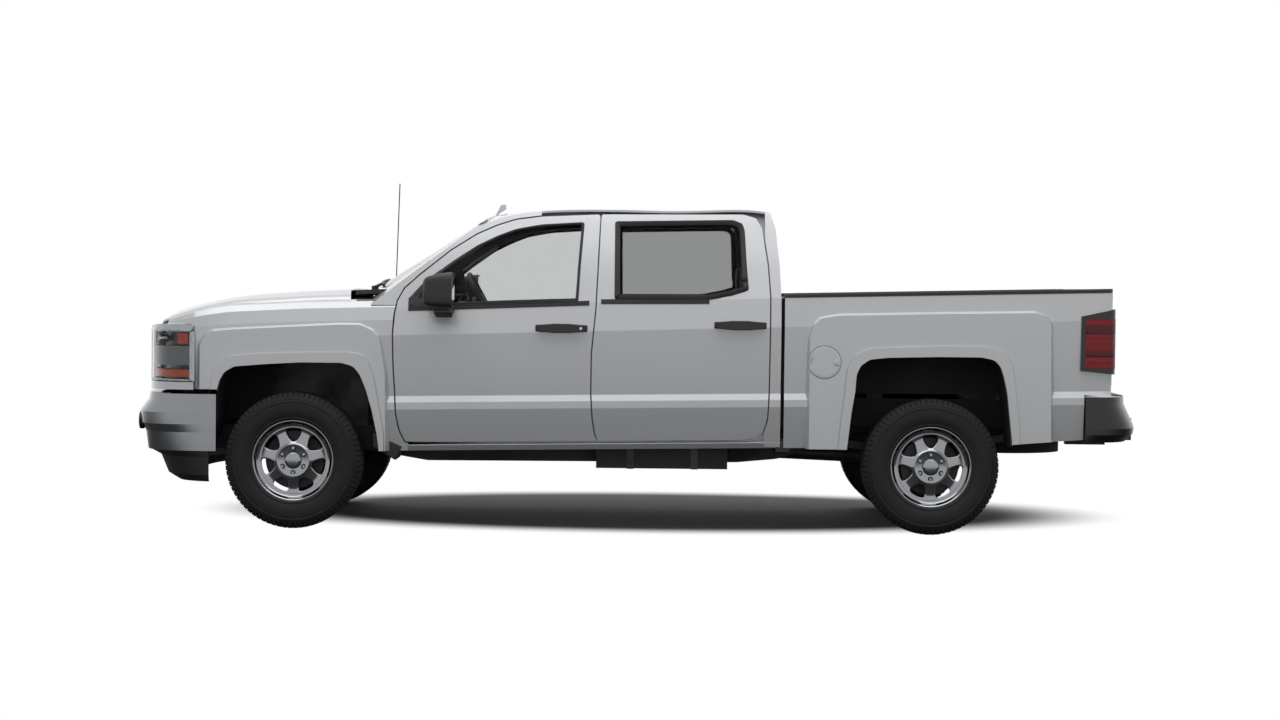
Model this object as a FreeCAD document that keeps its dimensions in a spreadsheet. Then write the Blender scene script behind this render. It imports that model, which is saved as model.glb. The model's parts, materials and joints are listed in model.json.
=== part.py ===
import FreeCAD, Part
import math
import os

import Sketcher
from FreeCAD import Placement, Rotation, Vector

# A crew-cab pickup truck with a short box, built from the pieces of the real one.
# The front points along -X, the left side along -Y, and Z is up from the ground.
# Every length is a cell of the sheet below, in millimetres, and every angle in degrees.
# Outlines are tables of shares: along the truck, share 0 is the front hub, 1 the rear hub,
# -1 the front end and 2 the rear end, and upward, share 1 is the height of the roof.

SIZES = {
    # The whole truck.
    "overall_length": 5842,
    "overall_width": 2032,
    "wheelbase": 3645,
    "front_overhang": 965,
    "roof_top": 1885,
    "front_track": 1745,
    "rear_track": 1717,
    # Clearances and allowances.
    "overrun": 60,
    "panel_gap": 8,
    "seat_clearance": 0.3,
    "pin_clearance": 0.08,
    # The tyres and rims.
    "tyre_radius": 388,
    "tyre_width": 250,
    "rim_flange_radius": 234,
    "rim_width": 214,
    "rim_wall": 8,
    "hub_bore_radius": 39,
    "lug_circle_radius": 70,
    "lug_radius": 12,
    "lug_length": 22,
    "cap_radius": 37,
    "cap_depth": 10,
    "window_count": 7,
    "lug_count": 6,
    # The lines that run along the body side: heights at the front hub, and rises to the rear one.
    "sill_height": 440,
    "door_foot_height": 491,
    "swage_low_height": 716,
    "swage_high_height": 752,
    "shoulder_height": 1093,
    "belt_height": 1246,
    "rail_height": 1297,
    "rake_rise": 64,
    "door_foot_rise": 52,
    "shoulder_rise": 114,
    "belt_rise": 130,
    "rail_rise": 95,
    # Half widths of the body side at those lines.
    "sill_half_width": 950,
    "foot_half_width": 958,
    "lower_half_width": 984,
    "waist_half_width": 966,
    "shoulder_half_width": 988,
    "belt_half_width": 955,
    "glass_half_width": 876,
    "rail_half_width": 765,
    "lower_drop": 40,
    "crease_radius": 30,
    "swage_radius": 9,
    "glass_bow_radius": 3000,
    # The doors and their hinges.
    "skin_thickness": 5,
    "door_corner_radius": 16,
    "door_inner_half_width": 859,
    "door_frame_thickness": 54,
    "door_box_inset": 26,
    "door_box_front_inset": 78,
    "door_box_rear_inset": 62,
    "hinge_inset": 110,
    "hinge_half_width": 940,
    "hinge_pin_radius": 7,
    "hinge_barrel_radius": 13,
    "hinge_arm_width": 14,
    "hinge_arm_height": 40,
    "hinge_pocket_margin": 9,
    "hinge_low_height": 620,
    "hinge_high_height": 1010,
    "door_glass_inset": 20,
    "glass_thickness": 5,
    "handle_length": 261,
    "handle_height": 36,
    "handle_reach": 42,
    "handle_wall": 13,
    "front_handle_height": 1160,
    "rear_handle_height": 1187,
    "handle_setback": 42,
    # The cab.
    "ring_half_width": 832,
    "ring_thickness": 60,
    "ring_top_half_width": 690,
    "ring_top_thickness": 44,
    "aperture_inset": 50,
    "quarter_depth": 180,
    "cab_back_thickness": 34,
    "floor_height": 560,
    "floor_thickness": 16,
    "tunnel_half_width": 170,
    "tunnel_height": 150,
    "rocker_depth": 34,
    "roof_edge_thickness": 12,
    "windshield_foot_height": 1369,
    "windshield_head_height": 1752,
    "windshield_bow": 202,
    "windshield_head_bow": 105,
    "cowl_thickness": 24,
    "cowl_gap": 30,
    # The hood, fenders and nose.
    "hood_thickness": 9,
    "hood_pin_radius": 8,
    "hood_eye_radius": 14,
    "hood_pivot_height": 1300,
    "hood_arm_half_width": 744,
    "hood_arm_width": 16,
    "hood_arm_margin": 6,
    "hood_bracket_width": 8,
    "fender_skin": 5,
    "bulge_reach": 14,
    "bulge_slope": 20,
    "flare_reach": 12,
    "flare_slope": 10,
    "liner_thickness": 4,
    "liner_inner_half_width": 560,
    "bumper_wall": 9,
    "bumper_ledge": 62,
    "rear_ledge": 180,
    "nose_depth": 52,
    "grille_bar_setback": 8,
    "mesh_depth": 12,
    "mesh_wire": 7,
    "mesh_rows": 9,
    "mesh_columns": 8,
    "lamp_setback": 6,
    "lamp_depth": 190,
    # The bed and tailgate.
    "bed_gap": 20,
    "bed_floor_depth": 530,
    "bed_floor_thickness": 20,
    "bed_inner_half_width": 830,
    "bed_wall": 5,
    "bed_rail_half_width": 972,
    "bed_corner": 24,
    "lamp_corner": 60,
    "cap_overhang": 3,
    "lamp_inner_half_width": 860,
    "rail_cap_thickness": 23,
    "wheelhouse_half_width": 655,
    "tailgate_thickness": 54,
    "tailgate_half_width": 822,
    "tailgate_pivot_inset": 24,
    "tailgate_pivot_rise": 20,
    "tailgate_pin_radius": 10,
    # The frame and running gear.
    "rail_outer_half_width": 470,
    "rail_width": 76,
    "rail_depth": 140,
    "crossmember_width": 90,
    "axle_tube_radius": 44,
    "differential_radius": 140,
    "upright_thickness": 34,
    "upright_width": 70,
    "arm_thickness": 30,
    "arm_spread": 150,
    "arm_root_half_width": 430,
    "spring_half_width": 560,
    "spring_width": 64,
    "spring_thickness": 44,
    "shaft_radius": 44,
    "engine_length": 640,
    "engine_width": 520,
    "engine_height": 620,
    "gearbox_width": 260,
    "gearbox_height": 230,
    "gearbox_length": 780,
    "muffler_radius": 88,
    "muffler_length": 620,
    "exhaust_radius": 33,
    "exhaust_half_width": 290,
    "tank_width": 290,
    "tank_height": 175,
    "tank_length": 760,
    "tank_low": 350,
    "spare_width": 190,
    "spare_radius": 355,
    "hanger_width": 12,
    "ball_hole_radius": 14,
    "brake_radius": 165,
    "brake_thickness": 26,
    "brake_setback": 24,
    "kingpin_low_half_width": 806,
    "kingpin_low_height": 290,
    "kingpin_high_half_width": 720,
    "kingpin_high_height": 636,
    "ball_radius": 20,
    # The cabin.
    "driver_half_width": 420,
    "steering_wheel_radius": 190,
    "steering_grip_radius": 15,
    "steering_hub_radius": 62,
    "steering_wheel_height": 1292,
    "steering_tilt": 27,
    "column_radius": 30,
    "seat_half_width": 260,
    "cushion_thickness": 130,
    "backrest_thickness": 120,
    "headrest_half_width": 130,
    "headrest_height": 170,
    "headrest_thickness": 95,
    "rear_seat_half_width": 690,
    # The outer fittings.
    "mirror_width": 200,
    "mirror_inner_half_width": 1055,
    "mirror_corner_radius": 42,
    "mirror_arm_height": 62,
    "mast_radius": 3.5,
    "mast_base_radius": 15,
    "mast_base_height": 26,
    "mast_height": 2048,
    "mast_half_width": 900,
    "mast_lean": 22,
    "fin_thickness": 38,
}

doc = FreeCAD.newDocument("pickup_truck")
sheet = doc.addObject("Spreadsheet::Sheet", "sizes")
for row, (alias, size) in enumerate(SIZES.items(), start=1):
    sheet.set(f"A{row}", alias)
    sheet.set(f"B{row}", str(size))
    sheet.setAlias(f"B{row}", alias)
doc.recompute()


class SheetReader:
    """Reads a cell of the sheet by its alias."""

    def __getattr__(self, alias):
        return float(getattr(sheet, alias))


mm = SheetReader()
nodes = []

FRONT_HUB = mm.front_overhang - mm.overall_length / 2
REAR_HUB = FRONT_HUB + mm.wheelbase
REAR_OVERHANG = mm.overall_length / 2 - REAR_HUB
HALF_WIDTH = mm.overall_width / 2


def along(share):
    """X of a share along the truck."""
    if share < 0:
        return FRONT_HUB + share * mm.front_overhang
    if share > 1:
        return REAR_HUB + (share - 1) * REAR_OVERHANG
    return FRONT_HUB + share * mm.wheelbase


def up(share):
    """Height of a share of the roof's height."""
    return share * mm.roof_top


def side(shares):
    """Points (x, z) of a side view from their shares."""
    return [(along(a), up(b)) for a, b in shares]


def around_hub(hub_x, shares):
    """Points (x, z) from shares of the tyre's radius, measured from below the hub."""
    return [(hub_x + a * mm.tyre_radius, b * mm.tyre_radius) for a, b in shares]


def level(height, rise, x):
    """Height at x of a line that climbs evenly towards the rear."""
    return height + rise * (x - FRONT_HUB) / mm.wheelbase


def between(table, x):
    """Values at x, in a straight line between the rows of a table sorted by its first column."""
    for (x1, *start), (x2, *end) in zip(table, table[1:]):
        if x <= x2 or (x2, *end) == tuple(table[-1]):
            part = (x - x1) / (x2 - x1)
            return [a + (b - a) * part for a, b in zip(start, end)]


def rounded_wire(corners, radii=0):
    """A closed wire through 3-D corners, each rounded by its radius as far as its sides allow."""
    count = len(corners)
    if not isinstance(radii, (list, tuple)):
        radii = [radii] * count
    stretches = []
    for index, corner in enumerate(corners):
        back = corners[index - 1] - corner
        ahead = corners[(index + 1) % count] - corner
        half_angle = back.getAngle(ahead) / 2
        radius = radii[index]
        if radius <= 0 or half_angle > math.radians(89.7):
            stretches.append((corner, None, corner))
            continue
        cut = min(radius / math.tan(half_angle), 0.45 * back.Length, 0.45 * ahead.Length)
        radius = cut * math.tan(half_angle)
        towards = (back.normalize() + ahead.normalize()).normalize()
        middle = corner + towards * (radius / math.sin(half_angle) - radius)
        stretches.append((corner + back * cut, middle, corner + ahead * cut))
    edges = []
    for index, (start, middle, end) in enumerate(stretches):
        if middle is not None:
            edges.append(Part.Arc(start, middle, end).toShape())
        following = stretches[(index + 1) % count][0]
        if (following - end).Length > 0.001:
            edges.append(Part.makeLine(end, following))
    return Part.Wire(edges)


def side_wire(points, y=0, radii=0):
    return rounded_wire([Vector(a, y, b) for a, b in points], radii)


def side_prism(points, y1, y2, radii=0):
    """A side-view outline drawn out from y1 to y2."""
    return Part.Face(side_wire(points, y1, radii)).extrude(Vector(0, y2 - y1, 0))


def front_prism(points, x1, x2, radii=0):
    """A front-view outline (y, z) drawn out from x1 to x2."""
    wire = rounded_wire([Vector(x1, a, b) for a, b in points], radii)
    return Part.Face(wire).extrude(Vector(x2 - x1, 0, 0))


def plan_prism(points, z1, z2, radii=0):
    """A plan outline (x, y) drawn out from z1 to z2."""
    wire = rounded_wire([Vector(a, b, z1) for a, b in points], radii)
    return Part.Face(wire).extrude(Vector(0, 0, z2 - z1))


def box(x1, x2, y1, y2, z1, z2):
    """A box between two corners."""
    return Part.makeBox(x2 - x1, y2 - y1, z2 - z1, Vector(x1, y1, z1))


def grown(wire, distance):
    """The wire moved outward in its plane, or inward if the distance is negative."""
    return wire.makeOffset2D(distance, 2)


def loft_along(stations, section, radii=0):
    """A straight-sided loft through the sections (y, z) at each x of stations."""
    wires = [rounded_wire([Vector(x, a, b) for a, b in section(x)], radii) for x in stations]
    return Part.makeLoft(wires, True, True)


def tube(start, end, radius):
    """A round bar between two points."""
    return Part.makeCylinder(radius, (end - start).Length, start, end - start)


def mirrored(shape):
    """The same shape on the other side of the truck."""
    return shape.mirror(Vector(0, 0, 0), Vector(0, 1, 0))


def moved(shape, y):
    """The same shape moved sideways."""
    copy = shape.copy()
    copy.translate(Vector(0, y, 0))
    return copy


def both(shape):
    """A left piece together with its mirror image, as separate solids."""
    return Part.makeCompound([shape, mirrored(shape)])


def largest(shape):
    """The largest of a shape's solids, without the slivers beside it."""
    return max(shape.Solids, key=lambda solid: solid.Volume)


def node_shape(label):
    """The shape of a node made before."""
    return next(node.Shape for node in nodes if node.Label == label)


def free_form(label, shape):
    """Adds a sub-part whose shape comes from surfaces."""
    feature = doc.addObject("Part::Feature", label)
    feature.Label = label
    feature.Shape = shape
    feature.Placement = Placement()
    nodes.append(feature)
    return shape


# The body side in side view. The doors share the split between them.
DOOR_SPLIT_SHARES = [
    (0.4774, 0.273), (0.4724, 0.295), (0.4683, 0.342), (0.4656, 0.419), (0.4661, 0.542),
    (0.4724, 0.673), (0.4782, 0.966),
]
FRONT_DOOR_SHARES = [
    (0.3841, 0.957), (0.3435, 0.946), (0.3152, 0.928), (0.2831, 0.900), (0.2431, 0.850),
    (0.1945, 0.773), (0.1715, 0.732), (0.1608, 0.694), (0.1567, 0.651), (0.1547, 0.592),
    (0.1558, 0.497), (0.1605, 0.351), (0.1660, 0.300), (0.1753, 0.265),
]
REAR_DOOR_SHARES = [
    (0.7034, 0.970), (0.7237, 0.959), (0.7336, 0.928), (0.7427, 0.811), (0.7460, 0.717),
    (0.7457, 0.579), (0.7451, 0.424), (0.7429, 0.347), (0.7372, 0.309), (0.7248, 0.290),
    (0.7053, 0.281),
]
FRONT_WINDOW_SHARES = [
    (0.1797, 0.675), (0.1797, 0.698), (0.2038, 0.753), (0.2433, 0.812), (0.2831, 0.864),
    (0.3152, 0.895), (0.3435, 0.916), (0.3838, 0.931), (0.4527, 0.940), (0.4475, 0.804),
    (0.4447, 0.696),
]
REAR_WINDOW_SHARES = [
    (0.5004, 0.943), (0.6875, 0.951), (0.7018, 0.940), (0.7056, 0.919), (0.7086, 0.810),
    (0.7119, 0.736), (0.6859, 0.720), (0.6499, 0.706), (0.5012, 0.704),
]
CAB_BACK_SHARES = [(0.7443, 0.985), (0.7545, 0.923), (0.7605, 0.806), (0.7628, 0.711), (0.7628, 0.262)]
ROOF_SHARES = [
    (0.2900, 0.950, 0.926, 0.718), (0.3298, 0.979, 0.955, 0.734), (0.3786, 0.987, 0.971, 0.740),
    (0.5262, 0.996, 0.978, 0.742), (0.6683, 1.000, 0.981, 0.742), (0.7289, 0.996, 0.979, 0.736),
    (0.7460, 0.989, 0.974, 0.728),
]
FRONT_ARCH_SHARES = [
    (-1.11, 1.00), (-1.11, 2.04), (-1.07, 2.18), (-1.00, 2.30), (-0.86, 2.38), (-0.39, 2.42),
    (0.10, 2.45), (0.71, 2.45), (0.89, 2.40), (0.99, 2.27), (1.08, 2.05), (1.17, 1.74),
    (1.24, 1.41), (1.27, 1.20), (1.27, 1.00),
]
FRONT_FLARE_SHARES = [
    (-1.23, 1.00), (-1.23, 2.04), (-1.21, 2.24), (-1.14, 2.42), (-0.96, 2.55), (-0.61, 2.59),
    (0.10, 2.62), (0.81, 2.63), (1.03, 2.60), (1.13, 2.48), (1.22, 2.20), (1.30, 1.75),
    (1.36, 1.41), (1.37, 1.00),
]
FRONT_BULGE_SHARES = [
    (-1.42, 1.00), (-1.42, 2.70), (-1.32, 2.88), (-1.21, 2.94), (-0.96, 2.97), (0.64, 3.06),
    (0.99, 3.06), (1.19, 2.97), (1.31, 2.84), (1.40, 2.30), (1.42, 1.00),
]
REAR_ARCH_SHARES = [
    (-1.26, 1.00), (-1.25, 1.27), (-1.19, 1.80), (-1.14, 2.10), (-1.12, 2.36), (-1.06, 2.49),
    (-0.93, 2.58), (-0.67, 2.61), (0.08, 2.63), (0.71, 2.63), (0.90, 2.59), (0.99, 2.49),
    (1.04, 2.34), (1.09, 2.12), (1.14, 1.67), (1.17, 1.40), (1.18, 1.00),
]
REAR_FLARE_SHARES = [
    (-1.42, 1.00), (-1.37, 1.60), (-1.31, 2.10), (-1.28, 2.44), (-1.17, 2.66), (-0.93, 2.77),
    (0.08, 2.81), (0.80, 2.81), (1.05, 2.74), (1.17, 2.56), (1.22, 2.30), (1.29, 1.70),
    (1.34, 1.00),
]
REAR_BULGE_SHARES = [
    (-1.86, 1.00), (-1.86, 2.90), (-1.80, 3.10), (-1.68, 3.22), (-1.40, 3.27), (0.08, 3.31),
    (1.50, 3.34), (1.68, 3.28), (1.78, 3.14), (1.80, 1.00),
]


def flank(x):
    """The cab's outer side at x, from its foot to above the roof rail, as (half width, height)."""
    glass_height = up(0.825)
    rail_height = up(0.967)
    lean = (mm.glass_half_width - mm.rail_half_width) / (rail_height - glass_height)
    top = rail_height + mm.overrun
    swage_low = level(mm.swage_low_height, mm.rake_rise, x)
    return [
        (mm.foot_half_width, level(mm.sill_height, mm.rake_rise, x)),
        (mm.lower_half_width, swage_low - mm.lower_drop),
        (mm.lower_half_width, swage_low),
        (mm.waist_half_width, level(mm.swage_high_height, mm.rake_rise, x)),
        (mm.shoulder_half_width, level(mm.shoulder_height, mm.shoulder_rise, x)),
        (mm.belt_half_width, level(mm.belt_height, mm.belt_rise, x)),
        (mm.glass_half_width, glass_height),
        (mm.rail_half_width - lean * mm.overrun, top),
    ]


def flank_radii():
    crease = mm.crease_radius
    return [0, crease, mm.swage_radius, mm.swage_radius, crease, crease, mm.glass_bow_radius, 0]


def flank_layer(x1, x2, near, far):
    """The left side's layer from near to far behind its outer surface, between x1 and x2."""

    def section(x):
        outer = [(-(a - near), b) for a, b in flank(x)]
        inner = [(-(a - far), b) for a, b in flank(x)]
        return outer + inner[::-1]

    radii = flank_radii()
    return loft_along([x1, x2], section, radii + radii[::-1])


def door_section(x):
    """A door's full section at x: the flank outside, a flat trim and a thin frame inside."""
    outer = [(-a, b) for a, b in flank(x)]
    belt_half, belt = flank(x)[5]
    frame = mm.door_frame_thickness
    top_half, top = flank(x)[-1]
    inner = [
        (-mm.door_inner_half_width, outer[0][1]),
        (-mm.door_inner_half_width, belt - frame),
        (-(belt_half - frame), belt + frame / 2),
        (-(mm.glass_half_width - frame), up(0.825)),
        (-(top_half - frame), top),
    ]
    return outer + inner[::-1]


def door_radii():
    return flank_radii() + [0, mm.glass_bow_radius, 0, 0, 0]


HINGE_HEIGHTS = [mm.hinge_low_height, mm.hinge_high_height]


def hinge_axis(leading_edge_x):
    """X of a door's hinge axis."""
    return leading_edge_x + mm.panel_gap / 2 + mm.hinge_inset


FRONT_LEADING_EDGE = along(min(a for a, _ in FRONT_DOOR_SHARES))
REAR_LEADING_EDGE = along(min(a for a, _ in DOOR_SPLIT_SHARES))
FRONT_AXIS = hinge_axis(FRONT_LEADING_EDGE)
REAR_AXIS = hinge_axis(REAR_LEADING_EDGE)
FRONT_DOOR = side(DOOR_SPLIT_SHARES + FRONT_DOOR_SHARES)
REAR_DOOR = side(DOOR_SPLIT_SHARES) + side(REAR_DOOR_SHARES)


def outline_prism(points, distance, radius):
    """A side outline, grown or shrunk, drawn across the left half of the truck."""
    wire = grown(side_wire(points, -HALF_WIDTH - mm.overrun, radius), distance)
    return Part.Face(wire).extrude(Vector(0, HALF_WIDTH, 0))


def door_blank(points, window, trailing_edge_x, axis_x):
    """A left door with its window, its hinge pockets and the pins in them."""
    x1 = min(a for a, _ in points) - mm.overrun
    x2 = max(a for a, _ in points) + mm.overrun
    outline = outline_prism(points, -mm.panel_gap / 2, mm.door_corner_radius)
    skin = flank_layer(x1, x2, 0, mm.skin_thickness).common(outline)
    leading_edge = axis_x - mm.hinge_inset
    core = box(
        leading_edge + mm.door_box_front_inset, trailing_edge_x - mm.door_box_rear_inset,
        -HALF_WIDTH, 0, 0, mm.roof_top,
    )
    inner_outline = outline_prism(points, -mm.door_box_inset, mm.door_corner_radius)
    case = loft_along([x1, x2], door_section, door_radii()).common(inner_outline).common(core)
    door = skin.fuse(case)
    door = door.cut(side_prism(side(window), -HALF_WIDTH, 0, mm.door_corner_radius))
    pocket_half_height = mm.hinge_arm_height / 2 + mm.hinge_pocket_margin
    pocket_reach = mm.hinge_barrel_radius + mm.hinge_pocket_margin
    for height in HINGE_HEIGHTS:
        door = door.cut(box(
            leading_edge, axis_x + pocket_reach,
            -mm.hinge_half_width - pocket_reach, -mm.ring_half_width,
            height - pocket_half_height, height + pocket_half_height,
        ))
        pin_foot = Vector(axis_x, -mm.hinge_half_width, height - pocket_half_height - mm.skin_thickness)
        pin_top = pin_foot + Vector(0, 0, 2 * (pocket_half_height + mm.skin_thickness))
        door = door.fuse(tube(pin_foot, pin_top, mm.hinge_pin_radius))
    return door


def handle(rear_end_x, height):
    """A pull handle: a bar held off the door by a post at each end."""
    face = -mm.shoulder_half_width + mm.skin_thickness * 2
    grip = face - mm.handle_reach
    x1 = rear_end_x - mm.handle_length
    x2 = rear_end_x
    wall = mm.handle_wall
    half = mm.handle_height / 2
    bar = plan_prism(
        [(x1, face), (x1, grip), (x2, grip), (x2, face)], height - half, height + half,
        [0, wall, wall, 0],
    )
    return bar.cut(box(x1 + 2 * wall, x2 - 2 * wall, grip + wall, 0, 0, mm.roof_top))


def door_glass(window):
    """The pane of a door, set behind its skin."""
    x1 = min(a for a, _ in side(window)) - mm.overrun
    x2 = max(a for a, _ in side(window)) + mm.overrun
    pane = flank_layer(x1, x2, mm.door_glass_inset, mm.door_glass_inset + mm.glass_thickness)
    return pane.common(outline_prism(side(window), -mm.seat_clearance, mm.door_corner_radius))


def doors():
    front_trailing = along(min(a for a, _ in DOOR_SPLIT_SHARES))
    rear_trailing = along(max(a for a, _ in REAR_DOOR_SHARES))
    front = door_blank(FRONT_DOOR, FRONT_WINDOW_SHARES, front_trailing, FRONT_AXIS)
    front = front.fuse(handle(front_trailing - mm.handle_setback, mm.front_handle_height))
    rear = door_blank(REAR_DOOR, REAR_WINDOW_SHARES, rear_trailing, REAR_AXIS)
    rear = rear.fuse(handle(rear_trailing - mm.handle_setback, mm.rear_handle_height))
    for name, door, window in (
        ("front", front, FRONT_WINDOW_SHARES),
        ("rear", rear, REAR_WINDOW_SHARES),
    ):
        glass = door_glass(window)
        free_form(f"door_{name}_left", door)
        free_form(f"door_{name}_right", mirrored(door))
        free_form(f"glass_{name}_left", glass)
        free_form(f"glass_{name}_right", mirrored(glass))


# The windshield's surface: an arc at its foot and one at its head, both level.
WINDSHIELD_FOOT_SHARE = 0.1583
WINDSHIELD_HEAD_SHARE = 0.2977


def windshield_arc(height):
    """The windshield's side X and its centre X at a height."""
    foot, head = mm.windshield_foot_height, mm.windshield_head_height
    part = (height - foot) / (head - foot)
    foot_x, head_x = along(WINDSHIELD_FOOT_SHARE), along(WINDSHIELD_HEAD_SHARE)
    side_x = foot_x + part * (head_x - foot_x)
    bow = mm.windshield_bow + part * (mm.windshield_head_bow - mm.windshield_bow)
    return side_x, side_x - bow


def behind_windshield(depth):
    """Everything behind the windshield's surface, moved inward by depth."""
    wires = []
    rear = along(1)
    half = HALF_WIDTH
    for height in (0, up(1) + mm.overrun):
        side_x, centre_x = windshield_arc(height)
        left = Vector(side_x, -half, height)
        right = Vector(side_x, half, height)
        arc = Part.Arc(left, Vector(centre_x, 0, height), right).toShape()
        wires.append(Part.Wire([
            arc,
            Part.makeLine(right, Vector(rear, half, height)),
            Part.makeLine(Vector(rear, half, height), Vector(rear, -half, height)),
            Part.makeLine(Vector(rear, -half, height), left),
        ]))
    solid = Part.makeLoft(wires, True, True)
    run = windshield_arc(up(1))[1] - windshield_arc(up(0.75))[1]
    climb = up(1) - up(0.75)
    inward = Vector(climb, 0, -run).normalize()
    solid.translate(inward * depth)
    return solid


WINDSHIELD_OUTLINE_SHARES = [(0.790, 0.732), (0.705, 0.936), (0.0, 0.972)]


def windshield_opening(margin):
    """The windshield's outline seen from the front, shrunk by margin, drawn along X."""
    half = [(a * HALF_WIDTH, up(b)) for a, b in WINDSHIELD_OUTLINE_SHARES]
    points = half + [(-a, b) for a, b in half[-2::-1]]
    wire = rounded_wire([Vector(FRONT_HUB, a, b) for a, b in points], mm.door_inner_half_width / 12)
    return Part.Face(grown(wire, -margin)).extrude(Vector(mm.wheelbase / 2, 0, 0))


def roof_section(x):
    centre, edge, half = between([(along(a), b, c, d) for a, b, c, d in ROOF_SHARES], x)
    return up(centre), up(edge), half * HALF_WIDTH


def crown_wire(x, corners):
    """The roof's outer crown at x, closed through the corners (Y, Z) from its right edge to its left."""
    centre, edge, half = roof_section(x)
    left = Vector(x, -half, edge)
    right = Vector(x, half, edge)
    crown = Part.Arc(left, Vector(x, 0, centre), right).toShape()
    points = [right] + [Vector(x, y, z) for y, z in corners] + [left]
    return Part.Wire([crown] + [Part.makeLine(a, b) for a, b in zip(points, points[1:])])


def roof():
    wires = []
    for row in ROOF_SHARES:
        x = along(row[0])
        _, edge, half = roof_section(x)
        foot = edge - mm.roof_edge_thickness
        wires.append(crown_wire(x, [(half, foot), (-half, foot)]))
    return Part.makeLoft(wires, True, False).common(behind_windshield(0))


def above_roof():
    """Everything over the roof's crown and the level of its edges, and on before and behind it."""
    wires = []
    high = 2 * mm.roof_top
    for row in ROOF_SHARES:
        x = along(row[0])
        edge = roof_section(x)[1]
        right = [(HALF_WIDTH, edge), (HALF_WIDTH, high)]
        left = [(-HALF_WIDTH, high), (-HALF_WIDTH, edge)]
        wires.append(crown_wire(x, right + left))
    body = Part.makeLoft(wires, True, False)
    ahead = Part.Face(wires[0]).extrude(Vector(FRONT_HUB - along(ROOF_SHARES[0][0]), 0, 0))
    behind = Part.Face(wires[-1]).extrude(Vector(REAR_HUB - along(ROOF_SHARES[-1][0]), 0, 0))
    return [body, ahead, behind]


PILLAR_INNER_SHARES = [(0.765, 0.68), (0.765, 0.732), (0.672, 0.936), (0.640, 0.985)]


def windshield_pillar(roof_shape):
    """The left pillar between the windshield and the door, with a rebate for the glass."""
    front, rear = along(0.12), along(FRONT_DOOR_SHARES[0][0])
    low, high = up(0.675), up(0.985)

    def section(x):
        outer = [(-a, b) for a, b in flank(x)][4:]
        inner_half = mm.ring_top_half_width - mm.overrun
        return outer + [(-inner_half, outer[-1][1]), (-inner_half, outer[0][1])]

    block = loft_along([front, rear], section, flank_radii()[4:] + [0, 0])
    block = block.common(side_prism([(front, low), (rear, low), (rear, high), (front, high)], -HALF_WIDTH, 0))
    inner = [(-a * HALF_WIDTH, up(b)) for a, b in PILLAR_INNER_SHARES]
    outside = [(-HALF_WIDTH, inner[-1][1]), (-HALF_WIDTH, inner[0][1])]
    block = block.common(front_prism(inner + outside, front, rear))
    block = block.common(behind_windshield(0))
    rebate = windshield_opening(0).cut(behind_windshield(mm.glass_thickness + mm.seat_clearance))
    block = block.cut(rebate)
    block = block.cut(outline_prism(FRONT_DOOR, mm.panel_gap / 2, mm.door_corner_radius))
    return block.cut(roof_shape)


def hinge_arms(axis_x):
    """The pillar's two arms, each with a barrel round a door's pin."""
    arms = []
    for height in HINGE_HEIGHTS:
        low = height - mm.hinge_arm_height / 2
        foot = Vector(axis_x, -mm.hinge_half_width, low)
        rise = Vector(0, 0, mm.hinge_arm_height)
        arm = box(
            axis_x - mm.hinge_arm_width / 2, axis_x + mm.hinge_arm_width / 2,
            -mm.hinge_half_width, -mm.ring_half_width + mm.skin_thickness,
            low, low + mm.hinge_arm_height,
        )
        barrel = tube(foot, foot + rise, mm.hinge_barrel_radius)
        bore = tube(foot, foot + rise, mm.hinge_pin_radius + mm.pin_clearance)
        arms.append(arm.fuse(barrel).cut(bore))
    return arms


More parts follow.
